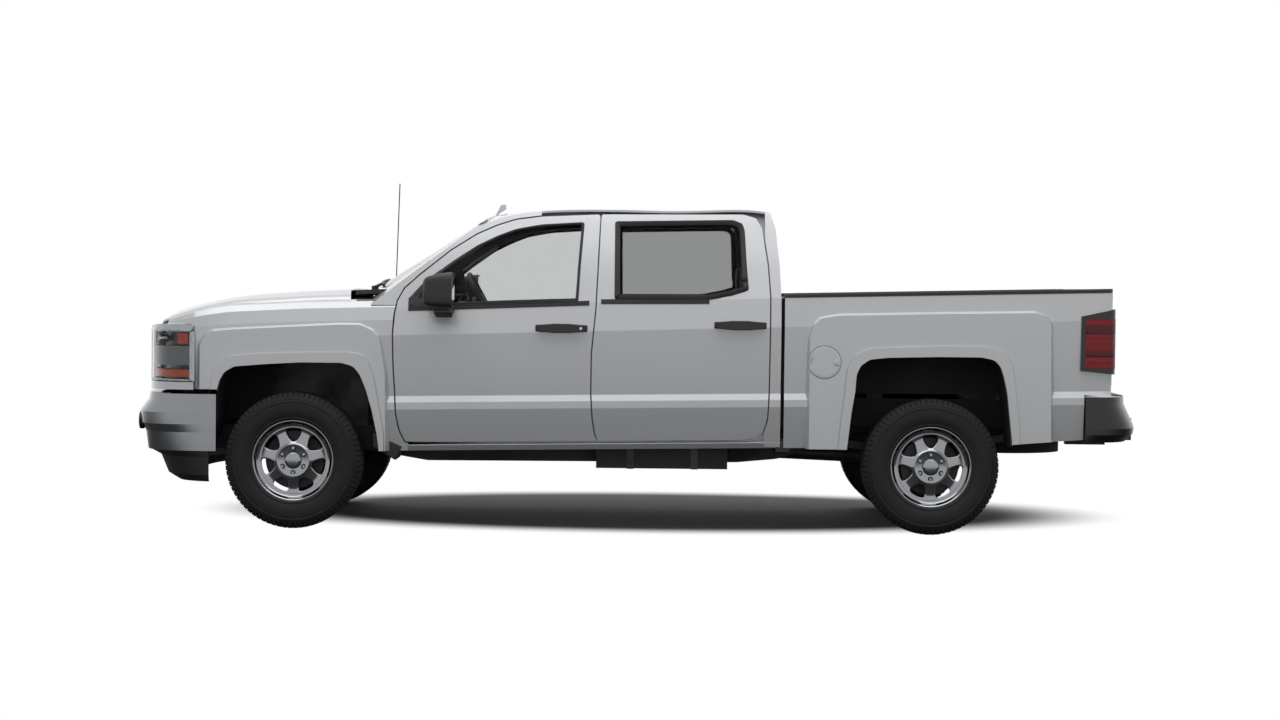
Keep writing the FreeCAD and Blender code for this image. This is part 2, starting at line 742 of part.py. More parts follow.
def cab_side(roof_shape):
    """The left side of the cab: pillars, sill, roof rail and hinge arms."""
    front = along(0.1416)
    back = side(CAB_BACK_SHARES)
    rear = back[-1][0]
    thickness = mm.ring_thickness
    belt, top = up(0.68), up(0.972)
    gap = mm.panel_gap / 2

    def band(x):
        low = level(mm.sill_height, mm.rake_rise, x)
        outer = [
            (-mm.ring_half_width, low), (-mm.ring_half_width, belt), (-mm.ring_top_half_width, top),
        ]
        inner = [
            (-mm.ring_top_half_width + mm.ring_top_thickness, top),
            (-mm.ring_half_width + thickness, belt), (-mm.ring_half_width + thickness, low),
        ]
        return outer + inner

    ring = loft_along([front, rear], band)
    cab_region = side_prism(back + [(front, back[-1][1]), (front, back[0][1])], -HALF_WIDTH, 0)
    ring = ring.common(cab_region).common(behind_windshield(mm.glass_thickness * 2))
    for door, axis_x in ((FRONT_DOOR, FRONT_AXIS), (REAR_DOOR, REAR_AXIS)):
        opening = outline_prism(door, -mm.aperture_inset, mm.door_corner_radius)
        clear = box(axis_x + mm.hinge_arm_width, rear, -HALF_WIDTH, 0, 0, mm.roof_top)
        ring = ring.cut(opening.common(clear))

    def rocker(x):
        base = level(mm.sill_height, mm.rake_rise, x)
        inner = -mm.ring_half_width + thickness / 2
        return [
            (inner, base), (-mm.sill_half_width, base),
            (-mm.foot_half_width - gap, base + mm.rocker_depth - gap),
            (-mm.foot_half_width, base + mm.rocker_depth),
            (inner, base + mm.rocker_depth),
        ]

    sill = loft_along([front + thickness, rear], rocker)
    rear_edge = along(max(a for a, _ in REAR_DOOR_SHARES))
    quarter = flank_layer(rear_edge - mm.overrun, rear + mm.overrun, 0, mm.quarter_depth)
    quarter_front = rear_edge - mm.overrun / 2
    region = side_prism(back + [(quarter_front, back[-1][1]), (quarter_front, back[0][1])], -HALF_WIDTH, 0)
    quarter = quarter.common(region).cut(outline_prism(REAR_DOOR, gap, mm.door_corner_radius))
    post = box(
        front - gap, FRONT_LEADING_EDGE - 2 * gap, -mm.foot_half_width + 2 * mm.hinge_barrel_radius,
        -mm.ring_half_width + thickness / 2, up(0.67), up(0.70),
    )
    whole = ring.fuse([sill, quarter, post] + hinge_arms(FRONT_AXIS) + hinge_arms(REAR_AXIS))
    return whole.cut(roof_shape).fuse(windshield_pillar(roof_shape)).cut(above_roof())


def flank_core(x1, x2, depth):
    """The cab's whole width inside the flanks, at a depth behind their outer surface."""

    def section(x):
        left = [(-(a - depth), b) for a, b in flank(x)]
        return left + [(-a, b) for a, b in left[::-1]]

    return loft_along([x1, x2], section)


BACK_WINDOW_SHARES = [(-0.56, 0.735), (0.56, 0.735), (0.50, 0.925), (-0.50, 0.925)]


def back_window(margin):
    points = [(a * HALF_WIDTH, up(b)) for a, b in BACK_WINDOW_SHARES]
    wire = rounded_wire([Vector(REAR_HUB, a, b) for a, b in points], mm.overrun)
    return Part.Face(grown(wire, -margin)).extrude(Vector(-mm.wheelbase / 2, 0, 0))


def cab_back(roof_shape, left_side):
    """The panel behind the seats, between the quarters."""
    back = side(CAB_BACK_SHARES)
    depth = mm.cab_back_thickness
    strip = back + [(x - depth, z) for x, z in back[::-1]]
    strip = side_prism(strip, -HALF_WIDTH, HALF_WIDTH)
    core = flank_core(back[0][0] - mm.overrun * 2, back[-1][0] + mm.overrun, mm.quarter_depth)
    above = mm.floor_height - mm.floor_thickness
    strip = strip.common(box(FRONT_HUB, REAR_HUB, -HALF_WIDTH, HALF_WIDTH, above, mm.roof_top))
    panel = core.common(strip).cut(back_window(0)).cut(roof_shape)
    return largest(panel.cut(left_side).cut(mirrored(left_side)))


def cab():
    """The fixed cab: sides, roof, back, floor, cowl and fixed glass."""
    roof_shape = roof()
    left = cab_side(roof_shape)
    free_form("cab_sides", both(left))
    free_form("roof", roof_shape)
    back = cab_back(roof_shape, left)
    free_form("cab_back", back)
    opening = windshield_opening(mm.seat_clearance)
    windshield = behind_windshield(0).cut(behind_windshield(mm.glass_thickness)).common(opening)
    back_points = side(CAB_BACK_SHARES)
    middle = mm.cab_back_thickness / 2
    pane = [(x - middle, z) for x, z in back_points]
    pane += [(x - middle - mm.glass_thickness, z) for x, z in back_points[::-1]]
    back_glass = side_prism(pane, -HALF_WIDTH, HALF_WIDTH).common(back_window(mm.seat_clearance))
    free_form("fixed_glass", Part.makeCompound([windshield, back_glass]))

    wall_x = along(0.1416)
    wall_half = mm.ring_half_width - mm.ring_thickness
    rear = back_points[-1][0] - mm.cab_back_thickness
    floor_top = mm.floor_height
    toe_x = along(TOE_SHARE)
    dash_top = up(COWL_SHARES[-1][1]) - mm.cowl_thickness
    sheet_metal = mm.floor_thickness
    outline = [
        (rear, floor_top), (rear, floor_top - sheet_metal), (toe_x, floor_top - sheet_metal),
        (wall_x, floor_top + mm.tunnel_height), (wall_x, dash_top),
        (wall_x + sheet_metal, dash_top), (wall_x + sheet_metal, floor_top + mm.tunnel_height),
        (toe_x, floor_top),
    ]
    floor = side_prism(outline, -wall_half, wall_half)
    hump = [
        (-mm.tunnel_half_width, 0), (mm.tunnel_half_width, 0),
        (mm.tunnel_half_width * TUNNEL_TOP_SHARE, mm.tunnel_height),
        (-mm.tunnel_half_width * TUNNEL_TOP_SHARE, mm.tunnel_height),
    ]
    tunnel_end = along(TUNNEL_END_SHARE)
    outer = front_prism([(y, floor_top + z) for y, z in hump], wall_x, tunnel_end)
    lower = floor_top - sheet_metal
    inner = front_prism([(y, lower + z) for y, z in hump], wall_x, tunnel_end - sheet_metal)
    below = box(wall_x, tunnel_end - sheet_metal, -mm.tunnel_half_width, mm.tunnel_half_width, 0, lower)
    floor = floor.fuse(outer).cut(inner).cut(below)
    free_form("cab_floor", largest(floor.cut(left).cut(mirrored(left))))

    free_form("cowl", cowl(left))


def cowl(left_side):
    """The panel between the hood's rear edge and the foot of the windshield."""
    top = side(COWL_SHARES)
    outline = top + [(x, z - mm.cowl_thickness) for x, z in top[::-1]]
    half = COWL_WIDTH_SHARE * HALF_WIDTH
    panel = side_prism(outline, -half, half)
    centre_x, _, edge_x, _, _ = HOOD_ROW_SHARES[0]
    front = []
    for a in COWL_CROSS_SHARES:
        front.append((along(centre_x + (edge_x - centre_x) * a * a) + mm.cowl_gap, a * half))
    rear_x = top[-1][0]
    plan = front + [(rear_x, half), (rear_x, -half)]
    panel = panel.common(plan_prism(plan, 0, mm.roof_top)).cut(behind_windshield(-mm.seat_clearance))
    panel = largest(panel.cut(left_side).cut(mirrored(left_side)))
    pivot_x = along(HOOD_PIVOT_SHARE)
    pivot_z = mm.hood_pivot_height
    arm_near = -mm.hood_arm_half_width
    arm_far = arm_near - mm.hood_arm_width
    plate_near = arm_far - mm.hood_arm_margin
    plate_far = plate_near - mm.hood_bracket_width
    rear_of_notch = pivot_x + mm.hood_eye_radius + mm.hood_arm_margin
    notch = box(
        along(0), rear_of_notch, plate_near, arm_near + mm.hood_arm_margin, 0, mm.roof_top,
    )
    plate = box(
        pivot_x - mm.hood_eye_radius, pivot_x + mm.hood_eye_radius, plate_far, plate_near,
        pivot_z - mm.hood_eye_radius, up(COWL_SHARES[1][1]) - mm.cowl_thickness / 2,
    )
    pin = tube(
        Vector(pivot_x, plate_near, pivot_z), Vector(pivot_x, arm_near + mm.hood_arm_margin / 2, pivot_z),
        mm.hood_pin_radius,
    )
    bracket = plate.fuse(pin)
    return panel.cut(notch).cut(mirrored(notch)).fuse([bracket, mirrored(bracket)])


HOOD_PIVOT_SHARE = 0.1251
TOE_SHARE = 0.185
TUNNEL_END_SHARE = 0.36
TUNNEL_TOP_SHARE = 0.8
COWL_SHARES = [(0.074, 0.716), (0.0950, 0.724), (0.1600, 0.731)]
COWL_CROSS_SHARES = [-1, -0.8, -0.5, 0, 0.5, 0.8, 1]
COWL_WIDTH_SHARE = 0.82


# The hood's rows from the rear to the front, as shares along the truck and of its half width:
# the centre's X and height, then the edge's X, half width and height.
HOOD_ROW_SHARES = [
    (0.0700, 0.7290, 0.0850, 0.828, 0.695), (0.0110, 0.7225, 0.0120, 0.830, 0.6905),
    (-0.20, 0.7135, -0.18, 0.842, 0.6835), (-0.41, 0.7015, -0.388, 0.856, 0.6765),
    (-0.56, 0.6875, -0.50, 0.882, 0.6665), (-0.69, 0.6725, -0.59, 0.906, 0.6560),
    (-0.78, 0.6580, -0.67, 0.904, 0.6440), (-0.84, 0.6445, -0.73, 0.868, 0.6355),
    (-0.88, 0.6300, -0.79, 0.800, 0.6270), (-0.904, 0.6150, -0.835, 0.690, 0.6150),
]
HOOD_CROSS_SHARES = [(0, 1), (0.22, 0.99), (0.45, 0.95), (0.60, 0.87), (0.69, 0.62), (0.85, 0.36), (1, 0)]


def hood_column(across, raised, fineness):
    """Points from the hood's rear edge to its front edge, at a share of its half width."""
    column = []
    for centre_x, centre_z, edge_x, edge_y, edge_z in HOOD_ROW_SHARES:
        x = along(centre_x) + (along(edge_x) - along(centre_x)) * across * across
        z = up(edge_z) + (up(centre_z) - up(edge_z)) * raised
        column.append(Vector(x, across * edge_y * HALF_WIDTH, z))
    curve = Part.BSplineCurve()
    curve.interpolate(column)
    return curve.discretize(Number=fineness * len(column))


def hood_surface():
    """The hood's outer skin, with its centre raised above the edges."""
    columns = [hood_column(across, raised, 2) for across, raised in HOOD_CROSS_SHARES]
    left = [[Vector(p.x, -p.y, p.z) for p in column] for column in columns[:0:-1]]
    surface = Part.BSplineSurface()
    surface.interpolate(left + columns)
    return surface.toShape()


def hood_clearance():
    """The space above and below the hood, wider than it by the gap to its neighbours."""
    edge = [Vector(p.x, p.y, 0) for p in hood_column(*HOOD_CROSS_SHARES[-1], 8)]
    outline = edge + [Vector(p.x, -p.y, 0) for p in edge[::-1]]
    wire = Part.makePolygon(outline + outline[:1])
    return Part.Face(grown(wire, mm.panel_gap)).extrude(Vector(0, 0, mm.roof_top))


HOOD_RISER_SHARES = [(0.0455, 0.690), (0.0455, 0.730), (0.0700, 0.730), (0.0700, 0.690)]
HOOD_ARM_SHARES = [
    (0.0455, 0.7003), (0.0730, 0.7013), (0.0785, 0.6963), (0.1251, 0.6969),
    (0.1251, 0.6824), (0.0700, 0.6822), (0.0455, 0.6897),
]


def hood():
    """The hood, with a gooseneck at each rear corner that ends in its pin's eye."""
    surface = hood_surface()
    skin = surface.extrude(Vector(0, 0, -mm.hood_thickness))
    under_skin = surface.extrude(Vector(0, 0, -mm.overrun))
    far = -mm.hood_arm_half_width - mm.hood_arm_width
    arm = side_prism(side(HOOD_ARM_SHARES), -mm.hood_arm_half_width, far)
    riser = side_prism(side(HOOD_RISER_SHARES), -mm.hood_arm_half_width, far).common(under_skin)
    arm = arm.fuse(riser)
    pivot = Vector(along(HOOD_PIVOT_SHARE), -mm.hood_arm_half_width, mm.hood_pivot_height)
    end = pivot - Vector(0, mm.hood_arm_width, 0)
    arm = arm.fuse(tube(pivot, end, mm.hood_eye_radius))
    arm = arm.cut(tube(pivot, end, mm.hood_pin_radius + mm.pin_clearance))
    free_form("hood", skin.fuse([arm, mirrored(arm)]))


def fender_crown(x):
    """The fender's inner top edge at x: half width and height just outside the hood."""
    rows = sorted((along(row[2]), row[3] * HALF_WIDTH, up(row[4])) for row in HOOD_ROW_SHARES)
    rear_rise = up(FENDER_REAR_SHARE)
    rows.append((along(FRONT_DOOR_SHARES[9][0]), rows[-1][1], rear_rise))
    half, height = between(rows, x)
    return half + mm.panel_gap, height


FENDER_REAR_SHARE = 0.699
FENDER_FRONT_SHARE = -0.59
FENDER_TIP_SHARE = -0.755
FENDER_STATION_SHARES = [
    -0.76, -0.73, -0.70, -0.67, -0.63, -0.59, -0.545, -0.50, -0.44, -0.388, -0.18, 0.012, 0.16, 0.18,
]
FENDER_TAPER_SHARES = [
    (-0.80, 0.900), (-0.76, 0.928), (-0.70, 0.964), (-0.59, 0.984), (-0.50, 0.993), (-0.388, 0.999),
    (-0.18, 1), (0.3, 1),
]


def fender_side(x):
    """The fender's outer side at x, from its foot up to the hood's edge."""
    crown_half, crown = fender_crown(x)
    taper = between([(along(a), b) for a, b in FENDER_TAPER_SHARES], x)[0]
    points = [(a * taper, b) for a, b in flank(x)[:5]]
    shoulder_half, shoulder = points[-1]
    reach = shoulder_half - crown_half
    climb = crown - shoulder
    for across, raised in FENDER_CROWN_SHARES:
        points.append((shoulder_half - reach * across, shoulder + climb * raised))
    return points


FENDER_CROWN_SHARES = [(0.05, 0.42), (0.22, 0.78), (0.52, 0.95), (1, 1)]


def arch_prism(hub_x, shares, y1, y2, growth=0):
    """A wheel arch's outline, from the ground up, drawn across."""
    points = around_hub(hub_x, shares)
    points = [(points[0][0], 0)] + points + [(points[-1][0], 0)]
    wire = side_wire(points, y1, mm.overrun)
    if growth:
        wire = grown(wire, growth)
    return Part.Face(wire).extrude(Vector(0, y2 - y1, 0))


def swelling(hub_x, shares, foot_half, reach, slope):
    """A raised field on the left side: full size at its foot, smaller by its slope at its face."""
    points = around_hub(hub_x, shares)
    foot = side_wire(points, -foot_half, mm.overrun)
    face = grown(side_wire(points, -foot_half - reach, mm.overrun), -slope)
    return Part.makeLoft([foot, face], True, True)


def fenders():
    stations = [along(share) for share in FENDER_STATION_SHARES]
    skin = mm.fender_skin

    def section(x):
        outer = fender_side(x)
        inner = [(a - skin, b) for a, b in outer[:5]] + [(a - skin, b - skin) for a, b in outer[5:]]
        return [(-a, b) for a, b in outer + inner[::-1]]

    shell = loft_along(stations, section)
    front_x, rear_x = along(FENDER_FRONT_SHARE), stations[-1]
    low = level(mm.sill_height, mm.rake_rise, FRONT_LEADING_EDGE)
    lamp_foot = up(LAMP_FOOT_SHARE)
    arch_front = FRONT_HUB + FRONT_ARCH_SHARES[1][0] * mm.tyre_radius
    tip_x = along(FENDER_TIP_SHARE)
    lamp_top = up(max(b for _, b in LAMP_SHARES)) + mm.seat_clearance
    region = side_prism(
        [(tip_x, mm.roof_top), (tip_x, lamp_top), (front_x, lamp_top), (front_x, lamp_foot),
         (arch_front, lamp_foot), (arch_front, low), (rear_x, low), (rear_x, mm.roof_top)],
        -HALF_WIDTH, 0,
    )
    base = mm.shoulder_half_width - mm.bulge_slope
    bulge = swelling(FRONT_HUB, FRONT_BULGE_SHARES, base, mm.bulge_reach + mm.bulge_slope, mm.bulge_slope)
    flare_base = mm.shoulder_half_width + mm.bulge_reach - mm.flare_slope
    reach = HALF_WIDTH - flare_base
    flare = swelling(FRONT_HUB, FRONT_FLARE_SHARES, flare_base, reach, mm.flare_slope)
    fender = shell.fuse([bulge, flare]).common(region)
    fender = fender.cut(arch_prism(FRONT_HUB, FRONT_ARCH_SHARES, -HALF_WIDTH, 0))
    fender = fender.cut(outline_prism(FRONT_DOOR, mm.panel_gap / 2, mm.door_corner_radius))
    fender = fender.cut(node_shape("cab_sides")).cut(hood_clearance())
    free_form("fenders", both(largest(fender)))


LAMP_FOOT_SHARE = 0.420


# The nose and bumpers in plan, as shares along the truck and of its half width.
NOSE_SHARES = [
    (-0.947, 0), (-0.938, 0.35), (-0.908, 0.62), (-0.850, 0.80), (-0.775, 0.895), (-0.690, 0.945),
    (-0.590, 0.972),
]
BUMPER_SHARES = [
    (-1.0, 0), (-0.992, 0.42), (-0.955, 0.72), (-0.885, 0.88), (-0.78, 0.96), (-0.62, 0.992),
    (-0.452, 0.996),
]
BUMPER_SECTION_SHARES = [
    (0.405, 0.063), (0.385, 0.056), (0.348, 0.002), (0.313, 0.007), (0.289, 0.037), (0.233, 0.053),
]
VALANCE_SECTION_SHARES = [(0.233, 0.0625), (0.215, 0.130), (0.160, 0.175), (0.140, 0.240)]
REAR_BUMPER_SHARES = [
    (2.0, 0), (1.990, 0.50), (1.955, 0.80), (1.890, 0.93), (1.800, 0.975), (1.708, 0.985),
]
REAR_BUMPER_SECTION_SHARES = [
    (0.424, 0.052), (0.400, 0.050), (0.345, 0.010), (0.328, 0), (0.310, 0.004), (0.287, 0.040),
]


def plan_curve(shares, z, shift_x=0, shift_y=0):
    """A curve across the truck at a height: the shares' left half mirrored to the right."""
    half = [Vector(along(a) + shift_x, b * HALF_WIDTH - (shift_y if b else 0), z) for a, b in shares]
    points = [Vector(p.x, -p.y, p.z) for p in half[:0:-1]] + half
    curve = Part.BSplineCurve()
    curve.interpolate(points)
    return curve.toShape()


def band_wire(shares, z, front, back, inset=0):
    """The closed outline between a plan curve moved rearward by front and by back."""
    outer = plan_curve(shares, z, front)
    inner = plan_curve(shares, z, back, inset)
    ends = [(outer.valueAt(outer.FirstParameter), inner.valueAt(inner.FirstParameter)),
            (outer.valueAt(outer.LastParameter), inner.valueAt(inner.LastParameter))]
    return Part.Wire([outer, Part.makeLine(*ends[1]), inner, Part.makeLine(*ends[0])])


def nose_band(front, back, z1, z2):
    """A wall that follows the nose in plan, between two heights."""
    return Part.Face(band_wire(NOSE_SHARES, z1, front, back)).extrude(Vector(0, 0, z2 - z1))


def flat_band(front, back, z1, z2):
    """The same wall made of flat stretches."""
    half = [(along(a), b * HALF_WIDTH) for a, b in NOSE_SHARES[:4]]
    line = [(x, -y) for x, y in half[:0:-1]] + half
    return plan_prism([(x + front, y) for x, y in line] + [(x + back, y) for x, y in line[::-1]], z1, z2)


def swept_shell(plan, section, wall, direction):
    """A curved shell whose plan outline moves by the section's shift at each height."""
    wires = []
    for height, shift in section:
        front = direction * abs(shift) * (mm.front_overhang if direction > 0 else REAR_OVERHANG)
        wires.append(band_wire(plan, up(height), front, front + direction * wall, wall))
    return Part.makeLoft(wires, True, True)


GRILLE_OUTER_SHARES = [(-0.575, 0.606), (0.575, 0.606), (0.560, 0.412), (-0.560, 0.412)]
GRILLE_INNER_SHARES = [(-0.515, 0.586), (0.515, 0.586), (0.500, 0.434), (-0.500, 0.434)]
GRILLE_BAR_SHARES = [(0.478, 0.506), (0.530, 0.552)]
LAMP_SHARES = [(0.592, 0.6060), (0.585, 0.440), (1.0, 0.440), (1.0, 0.6165), (0.80, 0.6140), (0.70, 0.6070)]
STRIP_SHARES = [(0.584, 0.4398), (0.590, 0.412), (1.0, 0.418), (1.0, 0.4398)]


def front_outline(shares):
    return [(a * HALF_WIDTH, up(b)) for a, b in shares]


def nose():
    """The grille, headlamps, strips, bumper and valance."""
    x1, x2 = -mm.overall_length / 2, FRONT_HUB
    depth = mm.nose_depth
    low, high = up(0.40), up(0.63)
    slab = nose_band(0, depth, low, high)
    ring = front_prism(front_outline(GRILLE_OUTER_SHARES), x1, x2, mm.overrun / 2)
    hole = front_prism(front_outline(GRILLE_INNER_SHARES), x1, x2, mm.overrun / 2)
    surround = slab.common(ring).cut(hole)
    bars = [
        nose_band(mm.grille_bar_setback, depth, up(a), up(b)).common(hole.fuse(surround))
        for a, b in GRILLE_BAR_SHARES
    ]
    free_form("grille", surround.fuse(bars))
    mesh_front = depth + mm.seat_clearance
    mesh_back = mesh_front + mm.mesh_depth
    mesh_half = GRILLE_INNER_SHARES[2][0] * HALF_WIDTH
    mesh_low, mesh_high = up(GRILLE_INNER_SHARES[2][1]), up(GRILLE_INNER_SHARES[0][1])
    slats = []
    step = (mesh_high - mesh_low) / int(mm.mesh_rows)
    for row in range(1, int(mm.mesh_rows)):
        z = mesh_low + row * step
        slats.append(flat_band(mesh_front, mesh_back, z - mm.mesh_wire / 2, z + mm.mesh_wire / 2))
    step = 2 * mesh_half / int(mm.mesh_columns)
    curve = flat_band(mesh_front, mesh_back, mesh_low, mesh_high)
    for column in range(1, int(mm.mesh_columns)):
        y = -mesh_half + column * step
        post = box(x1, x2, y - mm.mesh_wire / 2, y + mm.mesh_wire / 2, mesh_low, mesh_high)
        slats.append(curve.common(post))
    backing = flat_band(mesh_front, mesh_back, low, high).common(ring.cut(hole))
    mesh = slats[0].fuse(slats[1:]).common(ring)
    free_form("grille_mesh", backing.fuse(mesh))

    lamp_back = along(FENDER_FRONT_SHARE) - mm.seat_clearance
    lamp = nose_band(mm.lamp_setback, mm.lamp_depth, low, high)
    lamp = lamp.common(front_prism(front_outline(LAMP_SHARES), x1, lamp_back, mm.swage_radius * 2))
    free_form("headlamps", both(largest(mirrored(lamp))))
    strip = nose_band(0, depth, low, high)
    strip = strip.common(front_prism(front_outline(STRIP_SHARES), x1, lamp_back))
    free_form("nose_strips", both(largest(mirrored(strip))))

    shell = swept_shell(BUMPER_SHARES, BUMPER_SECTION_SHARES, mm.bumper_wall, 1)
    top = up(BUMPER_SECTION_SHARES[0][0])
    shift = BUMPER_SECTION_SHARES[0][1] * mm.front_overhang
    ledge_wire = band_wire(BUMPER_SHARES, top, shift, shift + mm.bumper_ledge, mm.bumper_ledge / 2)
    ledge = Part.Face(ledge_wire).extrude(Vector(0, 0, -mm.bumper_wall))
    tail = along(BUMPER_SHARES[-1][0])
    keep = box(x1 - mm.overrun, tail, -HALF_WIDTH, HALF_WIDTH, 0, mm.roof_top)
    free_form("front_bumper", shell.fuse(ledge).common(keep))
    valance = swept_shell(BUMPER_SHARES, VALANCE_SECTION_SHARES, mm.bumper_wall, 1)
    tail = along(VALANCE_TAIL_SHARE)
    valance = valance.common(box(x1, tail, -HALF_WIDTH, HALF_WIDTH, 0, mm.roof_top))
    free_form("front_valance", valance)


VALANCE_TAIL_SHARE = -0.4943


def liners():
    """The black linings of the four arches."""
    wall = mm.liner_thickness
    pieces = []
    for hub_x, shares, edge, inner in (
        (FRONT_HUB, FRONT_LINER_SHARES, mm.waist_half_width, mm.liner_inner_half_width),
        (REAR_HUB, REAR_ARCH_SHARES, mm.foot_half_width, mm.wheelhouse_half_width),
    ):
        outer = edge - mm.fender_skin - mm.seat_clearance
        shell = arch_prism(hub_x, shares, -outer, -inner, wall + mm.seat_clearance)
        hollow = arch_prism(hub_x, shares, -outer - wall, -inner + wall, mm.seat_clearance)
        above = box(
            hub_x - mm.wheelbase / 2, hub_x + mm.wheelbase / 2, -HALF_WIDTH, 0,
            LINER_FOOT_SHARE * mm.tyre_radius, mm.roof_top,
        )
        piece = shell.cut(hollow).common(above)
        pieces.append(piece)
    rear_wall = arch_prism(
        REAR_HUB, REAR_ARCH_SHARES, -mm.wheelhouse_half_width, -mm.wheelhouse_half_width + wall,
        wall + mm.seat_clearance,
    )
    floor_line = box(
        REAR_HUB - mm.wheelbase / 2, REAR_HUB + mm.wheelbase / 2, -HALF_WIDTH, 0,
        WHEELHOUSE_FOOT_SHARE * mm.tyre_radius, mm.roof_top,
    )
    pieces[1] = pieces[1].fuse(rear_wall.common(floor_line))
    pieces[0] = largest(pieces[0].cut(node_shape("fenders")))
    free_form("front_liners", both(pieces[0]))
    free_form("rear_liners", both(pieces[1]))


LINER_FOOT_SHARE = 1.3
WHEELHOUSE_FOOT_SHARE = 2.05
FRONT_LINER_SHARES = [
    (-1.27, 1.00), (-1.24, 1.30), (-1.13, 1.60), (-1.12, 2.04), (-1.07, 2.19), (-1.00, 2.30),
    (-0.86, 2.39), (-0.39, 2.43), (0.10, 2.46), (0.71, 2.46), (0.89, 2.41), (1.00, 2.27),
    (1.09, 2.05), (1.18, 1.74), (1.25, 1.41), (1.28, 1.20), (1.28, 1.00),
]


def bed_side_profile(x):
    """The bed's outer side at x, from its foot to the rail, as (half width, height)."""
    round_off = between([(along(a), b) for a, b in BED_TAPER_SHARES], x)[0]
    rail = level(mm.rail_height, mm.rail_rise, x) - mm.rail_cap_thickness
    points = flank(x)[:5] + [(mm.bed_rail_half_width, rail)]
    return [(a - round_off * mm.bed_corner, b) for a, b in points]


BED_TAPER_SHARES = [(0.5, 0), (1.78, 0), (1.80, 0.08), (1.82, 0.30), (1.832, 1.0)]
BED_REAR_SHARE = 1.832
BED_FOOT_SHARES = [(0.7682, 0.262), (0.865, 0.258), (1.365, 0.262), (1.37, 0.278), (1.484, 0.284), (1.7030, 0.294),
    (1.7030, 0.4300), (1.832, 0.4300)]
TAIL_LAMP_SHARES = [(1.6843, 0.503), (1.848, 0.493), (1.848, 0.691), (1.6843, 0.668)]


def bed_floor_top(x):
    return level(mm.rail_height, mm.rail_rise, x) - mm.bed_floor_depth


BED_BEAM_SHARES = [0.80, 0.92, 1.30, 1.60]
CAP_SECTION_SHARES = [(-1, 0), (-1, 0.7), (-0.98, 1), (0, 1), (0, 0)]
FRAME_TOP_SHARES = [
    (-0.80, 0.300), (0.10, 0.300), (0.20, 0.268), (0.70, 0.272), (0.765, 0.284), (0.90, 0.372),
    (1.22, 0.384), (1.40, 0.352), (1.70, 0.352),
]
# Each crossmember's place along the truck, and its foot and top within the rails' depth.
CROSSMEMBER_SHARES = [
    (-0.70, 0.04, 0.60), (0.0, 0.04, 0.30), (0.28, 0.04, 0.24), (0.50, 0.04, 0.17), (0.75, 0.62, 0.97),
    (0.92, 0.40, 0.97), (1.18, 0.40, 0.97), (1.42, 0.74, 0.97), (1.66, 0.74, 0.97),
]
ENGINE_MEMBER = 1
SPARE_MEMBER = 7
CAB_MOUNT_SHARES = [0.24, 0.46, 0.70]


def tailgate_pivot():
    """X and height of the tailgate's hinge line."""
    rear = along(BED_REAR_SHARE)
    return rear - mm.tailgate_pivot_inset, bed_floor_top(rear) - mm.tailgate_pivot_rise


def bed_side(stations):
    """The left side of the bed: an outer and an inner wall under one rail."""
    front, rear = stations[0], stations[-1]
    wall = mm.bed_wall
    inner_half = mm.bed_inner_half_width

    def section(x):
        outer = bed_side_profile(x)
        rail = outer[-1][1]
        floor = bed_floor_top(x) - mm.bed_floor_thickness
        inside = [(a - wall, b) for a, b in outer[:-1]] + [(outer[-1][0] - wall, rail - wall)]
        inner_wall = [
            (inner_half, rail), (inner_half, floor), (inner_half + wall, floor),
            (inner_half + wall, rail - wall),
        ]
        return [(-a, b) for a, b in outer + inner_wall + inside[::-1]]

    shell = loft_along(stations, section)
    foot = side(BED_FOOT_SHARES)[1:]
    region = [(front, mm.roof_top), (front, foot[0][1])] + foot + [(rear, mm.roof_top)]
    base = mm.shoulder_half_width - mm.bulge_slope
    bulge = swelling(REAR_HUB, REAR_BULGE_SHARES, base, mm.bulge_reach + mm.bulge_slope, mm.bulge_slope)
    flare_base = mm.shoulder_half_width + mm.bulge_reach - mm.flare_slope
    flare = swelling(REAR_HUB, REAR_FLARE_SHARES, flare_base, HALF_WIDTH - flare_base, mm.flare_slope)
    left = shell.fuse([bulge, flare]).common(side_prism(region, -HALF_WIDTH, 0))
    post = box(
        rear - wall * 2, rear, -mm.belt_half_width, -inner_half - wall / 2,
        bed_floor_top(rear) - mm.bed_floor_thickness, bed_side_profile(rear)[-1][1] - wall / 2,
    )
    liner = mm.liner_thickness + 2 * mm.seat_clearance
    inner_line = -inner_half - wall * 2
    left = left.fuse(post).cut(arch_prism(REAR_HUB, REAR_ARCH_SHARES, -HALF_WIDTH, inner_line))
    left = left.cut(arch_prism(REAR_HUB, REAR_ARCH_SHARES, inner_line, 0, liner))
    lamp_hole = Part.Face(grown(side_wire(side(TAIL_LAMP_SHARES), -HALF_WIDTH), mm.seat_clearance))
    return largest(left.cut(lamp_hole.extrude(Vector(0, HALF_WIDTH - mm.lamp_inner_half_width, 0))))


def tail_lamp():
    outline = side(TAIL_LAMP_SHARES)
    depth = HALF_WIDTH - mm.lamp_inner_half_width - mm.seat_clearance
    lamp = Part.Face(side_wire(outline, -HALF_WIDTH)).extrude(Vector(0, depth, 0))
    x1, x2 = outline[0][0], outline[1][0]
    face = mm.shoulder_half_width + mm.bulge_reach / 2
    footprint = [(x1, -face), (x2, -face), (x2, 0), (x1, 0)]
    return lamp.common(plan_prism(footprint, 0, mm.roof_top, [0, mm.lamp_corner, 0, 0]))


